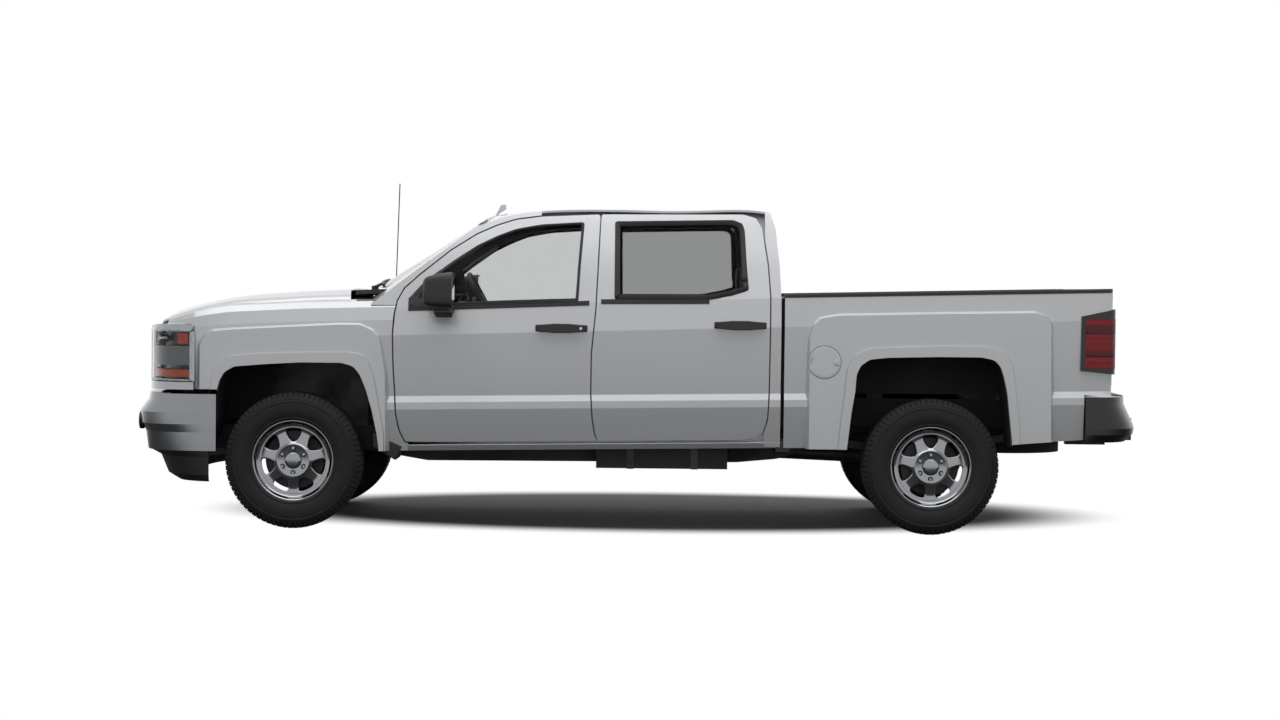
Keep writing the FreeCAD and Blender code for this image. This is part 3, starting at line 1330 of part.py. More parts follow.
def bed():
    """The bed: its sides, lamps, rail caps, floor with headboard, and tailgate."""
    front = along(CAB_BACK_SHARES[-1][0]) + mm.bed_gap
    stations = [front] + [along(a) for a, _ in BED_TAPER_SHARES[1:]]
    rear = stations[-1]
    inner_half = mm.bed_inner_half_width
    free_form("bed_sides", both(bed_side(stations)))
    free_form("tail_lamps", both(tail_lamp()))

    def cap(x):
        outer_half, rail = bed_side_profile(x)[-1]
        width = outer_half - inner_half + mm.cap_overhang
        return [(-inner_half + a * width, rail + b * mm.rail_cap_thickness) for a, b in CAP_SECTION_SHARES]

    free_form("rail_caps", both(loft_along(stations, cap)))

    end = rear - mm.tailgate_thickness - mm.tailgate_pivot_rise
    headboard_top = level(mm.rail_height, mm.rail_rise, front) - mm.rail_cap_thickness
    thick = mm.bed_floor_thickness
    wall_x = front + thick
    fold_x = wall_x + mm.bed_corner
    outline = [
        (front, bed_floor_top(front) - thick), (end, bed_floor_top(end) - thick),
        (end, bed_floor_top(end)), (fold_x, bed_floor_top(fold_x)),
        (wall_x, bed_floor_top(fold_x) + mm.bed_corner),
        (wall_x, headboard_top), (front, headboard_top),
    ]
    half = inner_half - mm.seat_clearance
    floor = side_prism(outline, -half, half)
    liner = mm.liner_thickness + 2 * mm.seat_clearance
    wheel_space = arch_prism(
        REAR_HUB, REAR_ARCH_SHARES, -HALF_WIDTH, -mm.wheelhouse_half_width + mm.seat_clearance + liner, liner
    )
    floor = floor.cut(wheel_space).cut(mirrored(wheel_space))
    beams = []
    for share in BED_BEAM_SHARES:
        x = along(share)
        x1, x2 = x - mm.crossmember_width / 2, x + mm.crossmember_width / 2
        reach = mm.wheelhouse_half_width - mm.crossmember_width
        foot = max(frame_top(x1), frame_top(x2)) + mm.seat_clearance
        beams.append(box(x1, x2, -reach, reach, foot, bed_floor_top(x) - thick / 2))
    free_form("bed_floor", floor.fuse(beams))

    pivot_x, pivot_z = tailgate_pivot()
    low = pivot_z - mm.tailgate_pivot_rise
    high = bed_side_profile(rear)[-1][1] + mm.rail_cap_thickness - mm.panel_gap
    gate_half = mm.tailgate_half_width
    gate = front_prism(
        [(-gate_half, low), (gate_half, low), (gate_half, high), (-gate_half, high)],
        rear - mm.tailgate_thickness, rear, mm.door_corner_radius,
    )
    reach = inner_half - mm.seat_clearance
    pin = tube(Vector(pivot_x, -reach, pivot_z), Vector(pivot_x, reach, pivot_z), mm.tailgate_pin_radius)
    free_form("tailgate", gate.fuse(pin))

    shell = swept_shell(REAR_BUMPER_SHARES, REAR_BUMPER_SECTION_SHARES, mm.bumper_wall, -1)
    top = up(REAR_BUMPER_SECTION_SHARES[0][0])
    shift = REAR_BUMPER_SECTION_SHARES[0][1] * REAR_OVERHANG
    ledge = band_wire(REAR_BUMPER_SHARES, top, -shift, -shift - mm.rear_ledge, mm.bumper_ledge)
    ledge = Part.Face(ledge).extrude(Vector(0, 0, -mm.bumper_wall))
    keep = box(
        along(REAR_BUMPER_SHARES[-1][0]), mm.overall_length / 2 + mm.overrun, -HALF_WIDTH, HALF_WIDTH,
        0, mm.roof_top,
    )
    hole_x = mm.overall_length / 2 - shift - mm.rear_ledge / 2
    hole = tube(Vector(hole_x, 0, top - mm.overrun), Vector(hole_x, 0, top + mm.overrun), mm.ball_hole_radius)
    free_form("rear_bumper", shell.fuse(ledge).common(keep).cut(hole))


def frame_top(x):
    return between(side(FRAME_TOP_SHARES), x)[0]


def member_place(member):
    """X, foot and top of a crossmember."""
    share, foot, head = member
    x = along(share)
    bottom = frame_top(x) - mm.rail_depth
    return x, bottom + foot * mm.rail_depth, bottom + head * mm.rail_depth


def frame():
    """The ladder frame: two kicked-up rails, the members across them and the cab's mounts."""
    top = side(FRAME_TOP_SHARES)
    bottom = [(x, z - mm.rail_depth) for x, z in top[::-1]]
    outer = mm.rail_outer_half_width
    inner = outer - mm.rail_width
    rail = side_prism(top + bottom, -outer, -inner, mm.rail_depth)
    pieces = [mirrored(rail)]
    wall = mm.skin_thickness
    half = mm.crossmember_width / 2
    for member in CROSSMEMBER_SHARES:
        x, foot, head = member_place(member)
        pieces.append(box(x - half, x + half, -inner - wall, inner + wall, foot, head))
    floor_low = mm.floor_height - mm.floor_thickness
    for share in CAB_MOUNT_SHARES:
        x = along(share)
        z = frame_top(x)
        arm = box(x - half, x + half, -outer - mm.rail_width, -inner - wall, z - mm.rail_width, z - wall)
        foot = Vector(x, -outer - mm.rail_width / 2, z - mm.rail_width / 2)
        puck = tube(foot, Vector(foot.x, foot.y, floor_low), half * 0.7)
        pieces += [arm, puck, mirrored(arm), mirrored(puck)]
    whole = rail.fuse(pieces)
    front_horn = box(
        -mm.overall_length / 2, top[0][0] + half, -outer + wall, -inner - wall,
        top[0][1] - mm.rail_depth / 2, top[0][1] - wall,
    )
    front_horn = max(front_horn.cut(node_shape("front_bumper")).Solids, key=lambda solid: solid.BoundBox.XMax)
    rear_horn = box(
        top[-1][0] - half, mm.overall_length / 2, -outer + wall, -inner - wall,
        top[-1][1] - mm.rail_depth + wall, top[-1][1] - wall,
    )
    rear_horn = min(rear_horn.cut(node_shape("rear_bumper")).Solids, key=lambda solid: solid.BoundBox.XMin)
    horns = [front_horn, mirrored(front_horn), rear_horn, mirrored(rear_horn)]
    free_form("frame", whole.fuse(horns))


def bound(kind, label, **formulas):
    """Adds a primitive whose sizes follow the sheet."""
    piece = doc.addObject(kind, label)
    piece.Label = label
    for name, formula in formulas.items():
        piece.setExpression(name, formula)
    return piece


def node_of(label, *pieces):
    """Adds a node made of primitives: one as it is, or several fused."""
    if len(pieces) > 1:
        whole = doc.addObject("Part::MultiFuse", label)
        whole.Shapes = list(pieces)
        whole.Refine = True
    else:
        whole = pieces[0]
    whole.Label = label
    nodes.append(whole)
    return whole


def new_sketch(body, role, name):
    """A sketch on one of the body's own planes."""
    plane = next(item for item in body.Origin.OriginFeatures if item.Role == role)
    sketch = body.newObject("Sketcher::SketchObject", name)
    sketch.AttachmentSupport = (plane, [""])
    sketch.MapMode = "FlatFace"
    return sketch


def draw_outline(sketch, corners):
    """Draws a closed outline whose corners (across, up) are terms: a formula and its value."""
    places = [(across[1], upward[1]) for across, upward in corners]
    count = len(places)
    for index, (a, b) in enumerate(places):
        c, d = places[(index + 1) % count]
        sketch.addGeometry(Part.LineSegment(Vector(a, b, 0), Vector(c, d, 0)), False)
    for index in range(count):
        following = (index + 1) % count
        sketch.addConstraint(Sketcher.Constraint("Coincident", index, 2, following, 1))
    for index, corner in enumerate(corners):
        for kind, (formula, value) in zip(("DistanceX", "DistanceY"), corner):
            number = sketch.addConstraint(Sketcher.Constraint(kind, -1, 1, index, 1, value))
            sketch.setExpression(f"Constraints[{number}]", formula)


def term(alias, share=1):
    """A share of a cell of the sheet: its formula and its value."""
    return f"{share} * sizes.{alias}", share * getattr(mm, alias)


def total(first, second):
    """The sum of two terms."""
    return f"{first[0]} + {second[0]}", first[1] + second[1]


def scaled(shares, across, upward):
    """Terms of an outline's corners from shares of two cells."""
    return [(term(across, a), term(upward, b)) for a, b in shares]


RIM_OUTSIDE_SHARES = [
    (1.000, 0.00), (1.000, 0.04), (0.925, 0.06), (0.925, 0.22), (0.840, 0.34), (0.840, 0.60),
    (0.925, 0.74), (0.925, 0.94), (1.000, 0.96), (1.000, 1.00), (0.965, 0.995), (0.900, 0.955),
    (0.870, 0.905), (0.800, 0.865), (0.520, 0.800), (0.430, 0.735), (0.360, 0.700), (0.190, 0.700),
    (0.180, 0.755), (0.120, 0.770), (0.000, 0.770), (0.000, 0.705),
]
RIM_BORE_SHARES = [0.705, 0.630]
RIM_INSIDE_SHARES = [
    (0.380, 0.630), (0.460, 0.680), (0.560, 0.735), (0.790, 0.790), (0.800, 0.640),
    (0.800, 0.320), (0.885, 0.190), (0.885, 0.030), (0.965, 0.00),
]
LUG_FOOT_SHARE = 0.68
RIM_WINDOW_SHARES = [
    (-0.105, 0.585), (-0.165, 0.640), (-0.185, 0.700), (-0.170, 0.755), (-0.120, 0.775), (0.120, 0.775),
    (0.170, 0.755), (0.185, 0.700), (0.165, 0.640), (0.105, 0.585),
]
TYRE_SECTION_SHARES = [(0.747, 0.5), (0.933, 0.476), (1, 0.37)]
TYRE_BEAD_SHARE = 0.43


def rim(label, centre, turn):
    """A rim with seven windows, six lugs and a plain cap, turned about the wheel's axis."""
    body = doc.addObject("PartDesign::Body", label)
    body.Label = label
    profile = new_sketch(body, "XY_Plane", f"{label}_profile")
    section = scaled(RIM_OUTSIDE_SHARES, "rim_flange_radius", "rim_width")
    section += [(term("hub_bore_radius"), term("rim_width", share)) for share in RIM_BORE_SHARES]
    section += scaled(RIM_INSIDE_SHARES, "rim_flange_radius", "rim_width")
    draw_outline(profile, section)
    turned = body.newObject("PartDesign::Revolution", f"{label}_turned")
    turned.Profile = profile
    turned.ReferenceAxis = (profile, ["V_Axis"])
    turned.Angle = 360
    window = new_sketch(body, "XZ_Plane", f"{label}_window")
    draw_outline(window, scaled(RIM_WINDOW_SHARES, "rim_flange_radius", "rim_flange_radius"))
    opening = body.newObject("PartDesign::Pocket", f"{label}_opening")
    opening.Profile = window
    opening.Type = "ThroughAll"
    opening.Midplane = True
    doc.recompute()
    axis = next(item for item in body.Origin.OriginFeatures if item.Role == "Y_Axis")
    windows = body.newObject("PartDesign::PolarPattern", f"{label}_windows")
    windows.Originals = [opening]
    windows.Axis = (axis, [""])
    windows.Angle = 360
    windows.setExpression("Occurrences", "sizes.window_count")
    body.Tip = windows
    doc.recompute()
    lug_sketch = new_sketch(body, "XZ_Plane", f"{label}_lug_circle")
    lug_sketch.addGeometry(
        Part.Circle(Vector(0, mm.lug_circle_radius, 0), Vector(0, 0, 1), mm.lug_radius), False
    )
    radius = lug_sketch.addConstraint(Sketcher.Constraint("Radius", 0, mm.lug_radius))
    lug_sketch.setExpression(f"Constraints[{radius}]", "sizes.lug_radius")
    lug_sketch.addConstraint(Sketcher.Constraint("PointOnObject", 0, 3, -2))
    height = lug_sketch.addConstraint(Sketcher.Constraint("DistanceY", -1, 1, 0, 3, mm.lug_circle_radius))
    lug_sketch.setExpression(f"Constraints[{height}]", "sizes.lug_circle_radius")
    lug_sketch.setExpression("AttachmentOffset.Base.z", f"-{LUG_FOOT_SHARE} * sizes.rim_width")
    lug = body.newObject("PartDesign::Pad", f"{label}_lug")
    lug.Profile = lug_sketch
    lug.Reversed = True
    lug.setExpression("Length", "sizes.lug_length")
    doc.recompute()
    lugs = body.newObject("PartDesign::PolarPattern", f"{label}_lugs")
    lugs.Originals = [lug]
    lugs.Axis = (axis, [""])
    lugs.Angle = 360
    lugs.setExpression("Occurrences", "sizes.lug_count")
    body.Tip = lugs
    nodes.append(body)
    body.Placement = Placement(centre, Rotation(Vector(0, 0, 1), turn))
    return body


def tyre(label, centre, turn):
    """A plain tyre on its rim's flanges."""
    body = doc.addObject("PartDesign::Body", label)
    body.Label = label
    middle = term("rim_width", 0.5)
    bead = total(term("rim_flange_radius"), term("seat_clearance"))
    outer = [(term("tyre_radius", a), total(middle, term("tyre_width", b))) for a, b in TYRE_SECTION_SHARES]
    inner = [(term("tyre_radius", a), total(middle, term("tyre_width", -b))) for a, b in TYRE_SECTION_SHARES]
    top = (bead, total(middle, term("tyre_width", TYRE_BEAD_SHARE)))
    bottom = (bead, total(middle, term("tyre_width", -TYRE_BEAD_SHARE)))
    sketch = new_sketch(body, "XY_Plane", f"{label}_profile")
    draw_outline(sketch, [top] + outer + inner[::-1] + [bottom])
    turned = body.newObject("PartDesign::Revolution", f"{label}_turned")
    turned.Profile = sketch
    turned.ReferenceAxis = (sketch, ["V_Axis"])
    turned.Angle = 360
    nodes.append(body)
    body.Placement = Placement(centre, Rotation(Vector(0, 0, 1), turn))
    return body


def wheels():
    for end, hub_x, track in (("front", FRONT_HUB, mm.front_track), ("rear", REAR_HUB, mm.rear_track)):
        for name, sign in (("left", -1), ("right", 1)):
            centre = Vector(hub_x, sign * (track / 2 - mm.rim_width / 2), mm.tyre_radius)
            turn = 180 if sign < 0 else 0
            rim(f"rim_{end}_{name}", centre, turn)
            tyre(f"tyre_{end}_{name}", centre, turn)


def hub_end(track):
    """Half the distance between the outer ends of two spindles."""
    return track / 2 + (RIM_BORE_SHARES[0] - 0.5) * mm.rim_width - mm.seat_clearance


def kingpin(sign):
    """The lower and upper ends of a knuckle's axis."""
    low = Vector(FRONT_HUB, sign * mm.kingpin_low_half_width, mm.kingpin_low_height)
    high = Vector(FRONT_HUB, sign * mm.kingpin_high_half_width, mm.kingpin_high_height)
    return low, high


def knuckle(sign):
    """A steering knuckle: its upright, spindle and brake."""
    low, high = kingpin(sign)
    upright = tube(low, high, mm.upright_thickness * 0.7)
    hub = mm.tyre_radius
    root = Vector(FRONT_HUB, low.y + (high.y - low.y) * (hub - low.z) / (high.z - low.z), hub)
    end = Vector(FRONT_HUB, sign * hub_end(mm.front_track), hub)
    spindle = tube(root, end, mm.hub_bore_radius - mm.pin_clearance)
    disc_y = sign * (mm.front_track / 2 - mm.brake_setback)
    disc = tube(
        Vector(FRONT_HUB, disc_y, hub), Vector(FRONT_HUB, disc_y + sign * mm.brake_thickness, hub),
        mm.brake_radius,
    )
    carrier = tube(root, Vector(FRONT_HUB, disc_y, hub), mm.upright_width)
    return upright.fuse([spindle, disc, carrier])


def front_suspension():
    """The front arms and springs, fused with the crossmember's ends."""
    sides = []
    for sign in (-1, 1):
        low, high = kingpin(sign)
        axis = (high - low).normalize()
        thick = mm.arm_thickness
        pieces = []
        for tip, direction, drop in ((low, -1, -0.5), (high, 1, 0.5)):
            near = tip + axis * (direction * mm.seat_clearance)
            boss = tube(near, near + axis * (direction * thick), mm.upright_thickness * 0.75)
            centre = near + axis * (direction * thick / 2)
            root = sign * mm.arm_root_half_width
            width = mm.upright_thickness
            spread = mm.arm_spread
            inset = sign * mm.upright_thickness
            arm = [
                (FRONT_HUB - width / 2, centre.y), (FRONT_HUB + width / 2, centre.y),
                (FRONT_HUB + spread, root), (FRONT_HUB - spread, root),
            ]
            if direction > 0:
                arm[3:3] = [
                    (FRONT_HUB + spread - width, root), (FRONT_HUB, centre.y - inset * 2),
                    (FRONT_HUB - spread + width, root),
                ]
            plate = plan_prism(arm, centre.z - thick / 2, centre.z + thick / 2)
            upright = tube(low, high, mm.upright_thickness * 0.7 + mm.seat_clearance * 4)
            pieces.append(boss.fuse(plate).cut(upright))
        lower_z, upper_z = low.z - thick, high.z + thick
        spring_y = sign * mm.spring_half_width
        spring = tube(
            Vector(FRONT_HUB, spring_y, lower_z - thick / 2), Vector(FRONT_HUB, spring_y, upper_z + thick),
            mm.upright_width / 2,
        )
        rail_y = mm.rail_outer_half_width - mm.rail_width / 2
        tower_y = sorted((spring_y + sign * mm.upright_width / 2, sign * rail_y))
        tower = box(
            FRONT_HUB - mm.arm_spread, FRONT_HUB + mm.arm_spread, tower_y[0], tower_y[1],
            upper_z + thick / 2, upper_z + thick,
        )
        side_y = sorted((sign * mm.rail_outer_half_width, sign * (mm.rail_outer_half_width - mm.rail_width)))
        wall = box(
            FRONT_HUB - mm.arm_spread, FRONT_HUB + mm.arm_spread, side_y[0], side_y[1],
            lower_z - thick / 2, upper_z + thick,
        )
        sides.append(pieces[0].fuse([pieces[1], spring, tower, wall]))
    rails = node_shape("frame")
    cross = box(
        FRONT_HUB - mm.arm_spread, FRONT_HUB + mm.arm_spread,
        -mm.rail_outer_half_width + mm.rail_width, mm.rail_outer_half_width - mm.rail_width,
        mm.kingpin_low_height - mm.arm_thickness * 1.5, mm.kingpin_low_height + mm.arm_thickness,
    )
    whole = sides[0].fuse([sides[1], cross]).cut(rails)
    free_form("front_suspension", whole)


def running_gear():
    """The knuckles, rear axle, springs, engine with gearbox, and shaft."""
    free_form("knuckle_left", knuckle(-1))
    free_form("knuckle_right", knuckle(1))
    front_suspension()
    hub = mm.tyre_radius
    end = hub_end(mm.rear_track)
    beam_half = mm.rear_track / 2 - mm.brake_setback
    axle = tube(Vector(REAR_HUB, -beam_half, hub), Vector(REAR_HUB, beam_half, hub), mm.axle_tube_radius)
    spindle = tube(Vector(REAR_HUB, -end, hub), Vector(REAR_HUB, end, hub), mm.hub_bore_radius - mm.pin_clearance)
    pieces = [spindle, Part.makeSphere(mm.differential_radius, Vector(REAR_HUB, 0, hub))]
    for sign in (-1, 1):
        near, far = sorted((sign * beam_half, sign * (beam_half + mm.brake_thickness)))
        pieces.append(tube(Vector(REAR_HUB, near, hub), Vector(REAR_HUB, far, hub), mm.brake_radius))
    free_form("rear_axle", axle.fuse(pieces))
    free_form("leaf_springs", both(leaf_spring()))

    engine = bound(
        "Part::Box", "engine_block", Length="sizes.engine_length", Width="sizes.engine_width",
        Height="sizes.engine_height",
    )
    engine_x = FRONT_HUB - mm.engine_length * 0.45
    engine_z = member_place(CROSSMEMBER_SHARES[ENGINE_MEMBER])[2] + mm.seat_clearance
    engine.Placement = Placement(Vector(engine_x, -mm.engine_width / 2, engine_z), Rotation())
    gearbox = bound(
        "Part::Box", "gearbox", Length="sizes.gearbox_length + sizes.overrun", Width="sizes.gearbox_width",
        Height="sizes.gearbox_height",
    )
    gearbox_x = engine_x + mm.engine_length - mm.overrun
    gearbox_z = mm.floor_height - mm.gearbox_height * 0.55
    gearbox.Placement = Placement(Vector(gearbox_x, -mm.gearbox_width / 2, gearbox_z), Rotation())
    node_of("engine", engine, gearbox)
    shaft_x = gearbox_x + mm.gearbox_length + mm.overrun + mm.seat_clearance * 7
    shaft_start = Vector(shaft_x, 0, gearbox_z + mm.gearbox_height / 5)
    shaft_end = Vector(REAR_HUB - mm.differential_radius - mm.seat_clearance, 0, hub)
    run = shaft_end - shaft_start
    shaft = bound("Part::Cylinder", "driveshaft", Radius="sizes.shaft_radius")
    shaft.Height = run.Length
    shaft.Placement = Placement(shaft_start, Rotation(Vector(0, 0, 1), run))
    node_of("driveshaft", shaft)


def leaf_spring():
    """A bow of leaves from a hanger under the frame to a shackle, over the axle."""
    half = mm.spring_width / 2
    thick = mm.spring_thickness
    middle = mm.tyre_radius + mm.axle_tube_radius + thick / 2
    front_eye, rear_eye = [(along(a), up(b)) for a, b in SPRING_EYE_SHARES]
    left = Vector(front_eye[0], -mm.spring_half_width - half, front_eye[1])
    centre = Vector(REAR_HUB, left.y, middle)
    right = Vector(rear_eye[0], left.y, rear_eye[1])
    lower = Part.Arc(left, centre, right).toShape()
    upper = lower.copy()
    upper.translate(Vector(0, 0, thick))
    ends = [Part.makeLine(right, right + Vector(0, 0, thick)), Part.makeLine(left, left + Vector(0, 0, thick))]
    bow = Part.Face(Part.Wire([lower, ends[0], upper, ends[1]])).extrude(Vector(0, 2 * half, 0))
    inner = -mm.rail_outer_half_width
    pieces = []
    for x, z in (front_eye, rear_eye):
        top = frame_top(x) - mm.skin_thickness
        pieces.append(box(x - half, x + half, left.y, inner, z, top))
    spring = bow.fuse(pieces)
    seat = box(
        REAR_HUB - half * 2, REAR_HUB + half * 2, left.y - mm.skin_thickness, left.y + 2 * half + mm.skin_thickness,
        mm.tyre_radius + mm.axle_tube_radius / 2, middle + thick / 2,
    )
    axle = tube(
        Vector(REAR_HUB, -HALF_WIDTH, mm.tyre_radius), Vector(REAR_HUB, 0, mm.tyre_radius), mm.axle_tube_radius
    )
    return spring.fuse(seat).cut(axle)


SPRING_EYE_SHARES = [(0.835, 0.265), (1.46, 0.290)]


DASHBOARD_SHARES = [
    (0.150, 0.48), (0.150, 0.680), (0.185, 0.695), (0.235, 0.690), (0.262, 0.655), (0.262, 0.60),
    (0.235, 0.56), (0.200, 0.48),
]
STEERING_X_SHARE = 0.288
CUSHION_SHARES = [(0.320, 0.395), (0.460, 0.375)]
BACKREST_SHARES = [(0.448, 0.400), (0.500, 0.745)]
REAR_CUSHION_SHARES = [(0.600, 0.390), (0.715, 0.375)]
REAR_BACKREST_SHARES = [(0.700, 0.400), (0.7300, 0.700)]


def slanted_block(ends, half_width, thickness, radius):
    """A padded block along a line in side view, behind or above it by its thickness."""
    (x1, z1), (x2, z2) = side(ends)
    run = Vector(x2 - x1, 0, z2 - z1).normalize()
    lift = Vector(-run.z, 0, run.x) * thickness
    corners = [(x1, z1), (x2, z2), (x2 + lift.x, z2 + lift.z), (x1 + lift.x, z1 + lift.z)]
    return side_prism(corners, -half_width, half_width, radius)


def seat_parts(cushion, backrest, half_width, headrest_places, base_height):
    """The seat's cushion on its base, the backrest and its head restraints."""
    thick = mm.cushion_thickness
    radius = thick * 0.35
    seat = slanted_block(cushion, half_width, thick, radius)
    back = slanted_block(backrest, half_width, mm.backrest_thickness, radius)
    (x1, z1), (x2, z2) = side(cushion)
    base = box(
        x1 + thick / 2, x2, -half_width + thick / 2, half_width - thick / 2,
        base_height, min(z1, z2) + thick / 3,
    )
    whole = seat.fuse([back, base])
    top_x, top_z = side(backrest)[1]
    for place in headrest_places:
        low = top_z + thick / 4
        rest = side_prism(
            [(top_x - mm.headrest_thickness, low), (top_x, low),
             (top_x, low + mm.headrest_height), (top_x - mm.headrest_thickness, low + mm.headrest_height)],
            place - mm.headrest_half_width, place + mm.headrest_half_width, radius * 0.6,
        )
        stem_x = top_x - mm.headrest_thickness / 2
        stem = tube(Vector(stem_x, place, top_z - thick), Vector(stem_x, place, low + thick / 3), thick / 8)
        whole = whole.fuse([rest, stem])
    return whole


def interior():
    """The dashboard with its column, the steering wheel and the seats."""
    half = mm.ring_half_width - mm.ring_thickness - mm.seat_clearance
    dash = side_prism(side(DASHBOARD_SHARES), -half, half, mm.cushion_thickness / 4)
    wheel_x = along(STEERING_X_SHARE)
    centre = Vector(wheel_x, -mm.driver_half_width, mm.steering_wheel_height)
    tilt = math.radians(mm.steering_tilt)
    axis = Vector(math.cos(tilt), 0, math.sin(tilt))
    hub_back = centre - axis * (mm.steering_hub_radius * 0.8)
    column_end = hub_back - axis * mm.pin_clearance
    column = tube(column_end - axis * (mm.steering_wheel_radius * 1.6), column_end, mm.column_radius)
    free_form("dashboard", largest(dash.fuse(column).cut(node_shape("cab_sides"))))

    rim_ring = Part.makeTorus(mm.steering_wheel_radius, mm.steering_grip_radius, centre, axis)
    hub = tube(hub_back, centre + axis * mm.steering_grip_radius, mm.steering_hub_radius)
    pieces = [hub]
    for angle in STEERING_SPOKE_ANGLES:
        spoke = box(
            -mm.steering_grip_radius, mm.steering_grip_radius, 0, mm.steering_wheel_radius,
            -mm.steering_grip_radius * 0.6, mm.steering_grip_radius * 0.6,
        )
        spoke.rotate(Vector(0, 0, 0), Vector(0, 0, 1), angle)
        spoke.Placement = Placement(centre, Rotation(Vector(0, 0, 1), axis)).multiply(spoke.Placement)
        pieces.append(spoke)
    free_form("steering_wheel", rim_ring.fuse(pieces))

    floor = mm.floor_height + mm.seat_clearance
    seat = seat_parts(CUSHION_SHARES, BACKREST_SHARES, mm.seat_half_width, [0], floor)
    seats = [moved(seat, -mm.driver_half_width), moved(seat, mm.driver_half_width)]
    free_form("front_seats", Part.makeCompound(seats))
    places = [-mm.driver_half_width, mm.driver_half_width]
    bench = seat_parts(REAR_CUSHION_SHARES, REAR_BACKREST_SHARES, mm.rear_seat_half_width, places, floor)
    free_form("rear_seat", bench)


STEERING_SPOKE_ANGLES = [0, 90, 180]
MIRROR_SHARES = [
    (0.2040, 0.683), (0.2040, 0.765), (0.2140, 0.784), (0.2560, 0.784), (0.2580, 0.765), (0.2580, 0.683),
]
MIRROR_ARM_SHARES = [0.222, 0.247]
MIRROR_FOOT_SHARE = 0.662
FIN_SHARES = [(0.2895, 0.930), (0.3080, 1.002), (0.3160, 1.003), (0.3190, 0.940), (0.3190, 0.930)]
MAST_SHARE = 0.110


def fittings():
    """The mirrors, the aerial mast and the roof's fin."""
    near = -mm.mirror_inner_half_width
    housing = side_prism(side(MIRROR_SHARES), near, near - mm.mirror_width, mm.mirror_corner_radius)
    x1, x2 = [along(a) for a in MIRROR_ARM_SHARES]
    foot_z = up(MIRROR_FOOT_SHARE)
    rise = mm.mirror_arm_height
    arm = front_prism(
        [(-mm.belt_half_width + rise / 4, foot_z - rise / 2), (near - rise, foot_z + rise),
         (near - rise, foot_z + 2 * rise), (-mm.belt_half_width + rise / 4, foot_z + rise / 2)],
        x1, x2,
    )
    arm = arm.cut(node_shape("door_front_left")).cut(node_shape("glass_front_left"))
    mirror = housing.fuse(largest(arm))
    free_form("mirror_left", mirror)
    free_form("mirror_right", mirrored(mirror))

    x = along(MAST_SHARE)
    y = mm.mast_half_width
    low = up(0.68)
    foot = Vector(x, y, low)
    crown = fender_crown(x)[1]
    base = tube(foot, Vector(x, y, crown + mm.mast_base_height), mm.mast_base_radius)
    mast = tube(Vector(x, y, crown), Vector(x + mm.mast_lean, y, mm.mast_height), mm.mast_radius)
    mast = base.fuse(mast).cut(node_shape("fenders"))
    mast = max(mast.Solids, key=lambda solid: solid.BoundBox.ZMax)
    fin = side_prism(side(FIN_SHARES), -mm.fin_thickness / 2, mm.fin_thickness / 2)
    fin = fin.cut(node_shape("roof")).cut(behind_windshield(0))
    fin = max(fin.Solids, key=lambda solid: solid.BoundBox.ZMax)
    free_form("aerials", Part.makeCompound([mast, fin]))


RADIATOR_SHARES = [(-0.835, 0.26), (-0.76, 0.26), (-0.76, 0.59), (-0.835, 0.59)]
TANK_SHARE = 0.474
MUFFLER_SHARE = 0.55
HANGER_SHARES = [0.42, 0.64]
PIPE_SHARES = [(0.30, 0.228), (0.78, 0.228), (0.86, 0.262), (1.12, 0.262)]


def underside():
    """The radiator, fuel tank, exhaust and spare wheel."""
    inner = mm.rail_outer_half_width - mm.rail_width
    core = side(RADIATOR_SHARES)
    foot = box(
        -mm.overall_length / 2, core[1][0] - mm.nose_depth / 2, -inner / 2, inner / 2,
        up(GRILLE_OUTER_SHARES[2][1]), up(GRILLE_INNER_SHARES[2][1]),
    )
    behind = box(
        -mm.overall_length / 2 + mm.nose_depth, 0, -inner, inner, 0, mm.roof_top,
    )
    foot = foot.common(behind).cut(node_shape("grille_mesh")).cut(node_shape("grille"))
    foot = max(foot.Solids, key=lambda solid: solid.BoundBox.XMax)
    free_form("radiator", side_prism(core, -inner, inner).fuse(foot))
    tank = bound(
        "Part::Box", "fuel_tank", Length="sizes.tank_length", Width="sizes.tank_width",
        Height="sizes.tank_height",
    )
    tank_y = -mm.rail_outer_half_width - mm.tank_width - mm.seat_clearance
    tank.Placement = Placement(Vector(along(TANK_SHARE), tank_y, mm.tank_low), Rotation())
    node_of("fuel_tank", tank)
    spare = bound("Part::Cylinder", "spare_wheel", Radius="sizes.spare_radius", Height="sizes.spare_width")
    x, foot, _ = member_place(CROSSMEMBER_SHARES[SPARE_MEMBER])
    spare.Placement = Placement(Vector(x, 0, foot - mm.seat_clearance - mm.spare_width), Rotation())
    node_of("spare_wheel", spare)
    points = [Vector(a, mm.exhaust_half_width, b) for a, b in side(PIPE_SHARES)]
    pipe = None
    for start, end in zip(points, points[1:]):
        run = tube(start, end, mm.exhaust_radius).fuse(Part.makeSphere(mm.exhaust_radius, end))
        pipe = run if pipe is None else pipe.fuse(run)
    muffler_start = Vector(along(MUFFLER_SHARE), mm.exhaust_half_width, points[0].z)
    muffler = tube(muffler_start, muffler_start + Vector(mm.muffler_length, 0, 0), mm.muffler_radius)
    half = mm.hanger_width / 2
    floor_low = mm.floor_height - mm.floor_thickness - mm.seat_clearance
    hangers = [
        box(
            along(a) - half, along(a) + half, mm.exhaust_half_width - half, mm.exhaust_half_width + half,
            points[0].z, floor_low,
        )
        for a in HANGER_SHARES
    ]
    free_form("exhaust", pipe.fuse([muffler] + hangers))


